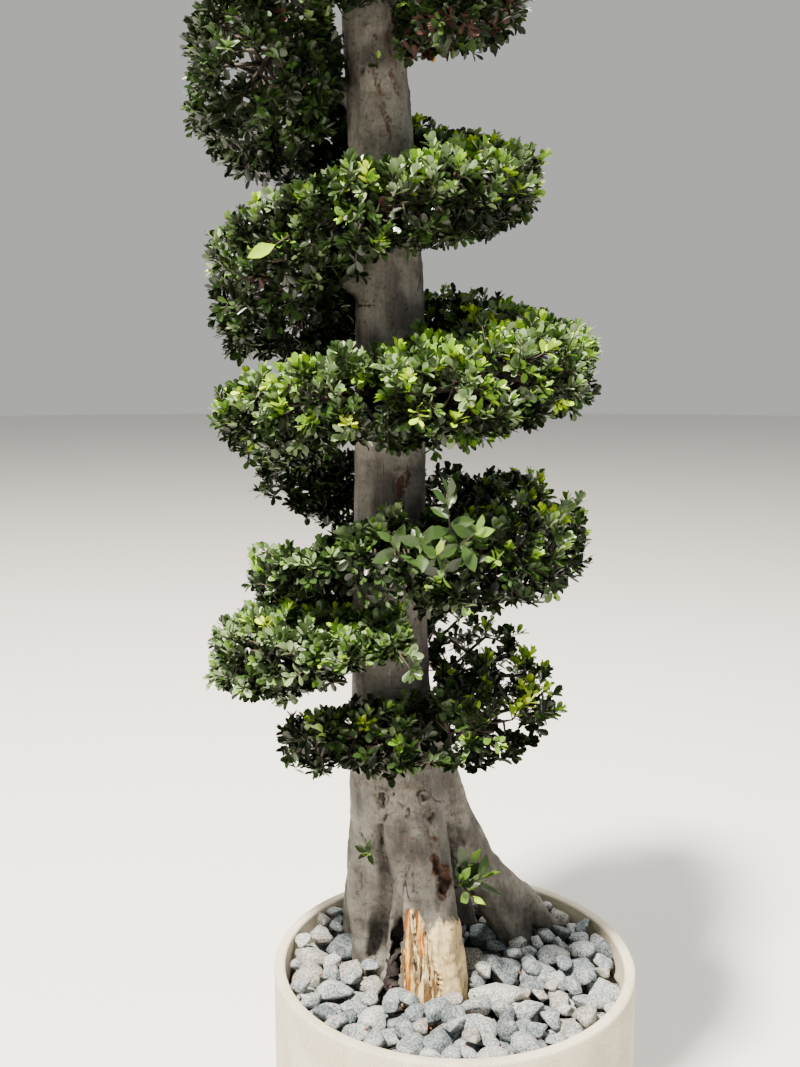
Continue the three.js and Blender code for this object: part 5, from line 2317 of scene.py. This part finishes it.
# Shoots of the rootstock, whose leaves are longer, and other shoots that stand out
STRONG_SHOOTS = (
    LargeShoots(
        "rootstock_shoots",
        Slot.FOLIAGE,
        "clump_06",
        601,
        (
            LargeShoot((-20, -250, 1345), (-33, -310, 1448), 8, 46, LeafTone.MATURE, LeafTone.MATURE),
            LargeShoot((-30, -250, 1335), (16, -318, 1388), 6, 48, LeafTone.MATURE, LeafTone.FRESH),
            LargeShoot((-60, -250, 1320), (-78, -322, 1376), 7, 44, LeafTone.MATURE, LeafTone.MATURE),
            LargeShoot((-50, -250, 1330), (-46, -325, 1352), 6, 46, LeafTone.MATURE, LeafTone.LIME),
            LargeShoot((-30, -250, 1330), (-40, -320, 1312), 6, 44, LeafTone.DEEP, LeafTone.FRESH),
            LargeShoot((-100, -240, 1320), (-122, -305, 1372), 6, 40, LeafTone.MATURE, LeafTone.MATURE),
        ),
        leans=(0.4, 1.9),
        towards=(0.6, -0.7, -0.1),
    ),
    LargeShoots("hanging_sprays", Slot.FOLIAGE, "clump_05", 606, hanging_shoots(), ROUND_LEAF),
    LargeShoots(
        "lime_leaf",
        Slot.FOLIAGE,
        "clump_11",
        611,
        (LargeShoot((-289, -222, 1862), (-310, -236, 1846), 1, 104, LeafTone.LIME, LeafTone.LIME),),
        leans=(0.0, 0.0),
        towards=(0.2, -1.0, 0.0),
    ),
    LargeShoots(
        "pendant_sprig",
        Slot.FOLIAGE,
        "clump_04",
        616,
        (
            LargeShoot((-108, -305, 1180), (-86, -325, 1154), 9, 25, LeafTone.MATURE, LeafTone.FRESH),
            LargeShoot((-110, -300, 1185), (-90, -318, 1182), 8, 24, LeafTone.WAXED, LeafTone.WAXED),
        ),
        ROUND_LEAF,
        0.3,
    ),
    LargeShoots(
        "fork_shoot",
        Slot.YOUNG,
        "young_shoot",
        621,
        (
            LargeShoot((-4, -34, 636), (28, -66, 704), 6, 50, LeafTone.MATURE, LeafTone.FRESH),
            LargeShoot((-4, -34, 636), (58, -82, 684), 6, 54, LeafTone.MATURE, LeafTone.FRESH),
            LargeShoot((6, -50, 650), (10, -80, 676), 5, 46, LeafTone.MATURE, LeafTone.FRESH),
            LargeShoot((12, -50, 652), (34, -80, 640), 4, 48, LeafTone.FRESH, LeafTone.LIME),
        ),
    ),
    LargeShoots(
        "trunk_sprig",
        Slot.FOLIAGE,
        "trunk",
        641,
        (LargeShoot((-150, -2, 2176), (-147, -30, 2186), 6, 22, LeafTone.MATURE, LeafTone.FRESH),),
        ROUND_LEAF,
    ),
    LargeShoots(
        "left_shoot",
        Slot.YOUNG,
        "young_shoot",
        631,
        (LargeShoot((-166, -6, 706), (-174, -46, 712), 6, 30, LeafTone.MATURE, LeafTone.FRESH),),
    ),
)


@dataclass(frozen=True)
class StudioLight:
    """A soft light panel: its place, what it faces, its side and its power in watts."""

    name: str
    place: tuple[float, float, float]
    side: float
    power: float
    colour: str = "#ffffff"
    target: tuple[float, float, float] = (-0.1, 0.0, 1.4)

    def build(self) -> None:
        """Adds the light to the scene."""
        data = bpy.data.lights.new(self.name, "AREA")
        data.size = self.side
        data.energy = self.power
        data.color = linear(self.colour)[:3]
        light = add_object(self.name, data)
        light.location = self.place
        light.rotation_euler = (Vector(self.target) - Vector(self.place)).to_track_quat("-Z", "Y").to_euler()


@dataclass
class Studio:
    """The plain pale floor, the soft lights and the camera at the photograph's angle."""

    camera_place: tuple[float, float, float] = (-0.108, -2.069, 1.646)
    camera_down: float = math.radians(8.49)
    lens: float = 37.11
    floor_radius: float = 40.0
    floor_sides: int = 96
    floor_colour: str = "#e2e0dc"
    floor_roughness: float = 0.9
    air_colour: str = "#e9e8e6"
    air_strength: float = 0.62
    lights: tuple[StudioLight, ...] = (
        StudioLight("key", (-3.0, -4.0, 11.0), 1.0, 7800.0, "#fff5e6"),
        StudioLight("fill", (2.8, -2.6, 2.4), 2.6, 10.0, "#eef3ff"),
        StudioLight("back", (0.8, 2.4, 5.2), 1.4, 260.0, "#fffaf2"),
    )

    def build(self) -> None:
        """Builds the floor, the lights, the air and the camera."""
        for light in self.lights:
            light.build()
        self.build_floor()
        world = bpy.data.worlds.new("air")
        world.use_nodes = True
        air = world.node_tree.nodes["Background"]
        air.inputs["Color"].default_value = linear(self.air_colour)
        air.inputs["Strength"].default_value = self.air_strength
        bpy.context.scene.world = world
        data = bpy.data.cameras.new("camera")
        data.lens = self.lens
        camera = add_object("camera", data)
        camera.location = self.camera_place
        camera.rotation_euler = (math.pi / 2 - self.camera_down, 0.0, 0.0)
        bpy.context.scene.camera = camera

    def build_floor(self) -> None:
        """Builds the floor as a large disc."""
        this, sides = np.arange(self.floor_sides), self.floor_sides
        angles = TAU * this / sides
        rim = np.stack([np.cos(angles), np.sin(angles), np.zeros(sides)], axis=1) * self.floor_radius
        triangles = np.stack([this, (this + 1) % sides, np.full(sides, sides)], axis=1)
        floor = triangle_mesh("floor", np.concatenate([rim, np.zeros((1, 3))]), triangles)
        shader = {"Base Color": self.floor_colour, "Roughness": self.floor_roughness}
        floor.data.materials.append(Shading("studio_floor").close(shader))


def main() -> None:
    """Builds the tree, its planter and the studio."""
    logging.basicConfig(level=logging.INFO, format="%(message)s", stream=sys.stdout)
    Studio().build()
    Planter().build()
    Soil().build()
    StoneBed().build()
    Trunk().build()
    finishes = GrowthFinishes([FigLeaf(tone).material() for tone in LeafTone], TwigBark().material())
    for growth in (Spiral(), *STRONG_SHOOTS):
        growth.build(finishes)


if __name__ == "__main__":
    main()
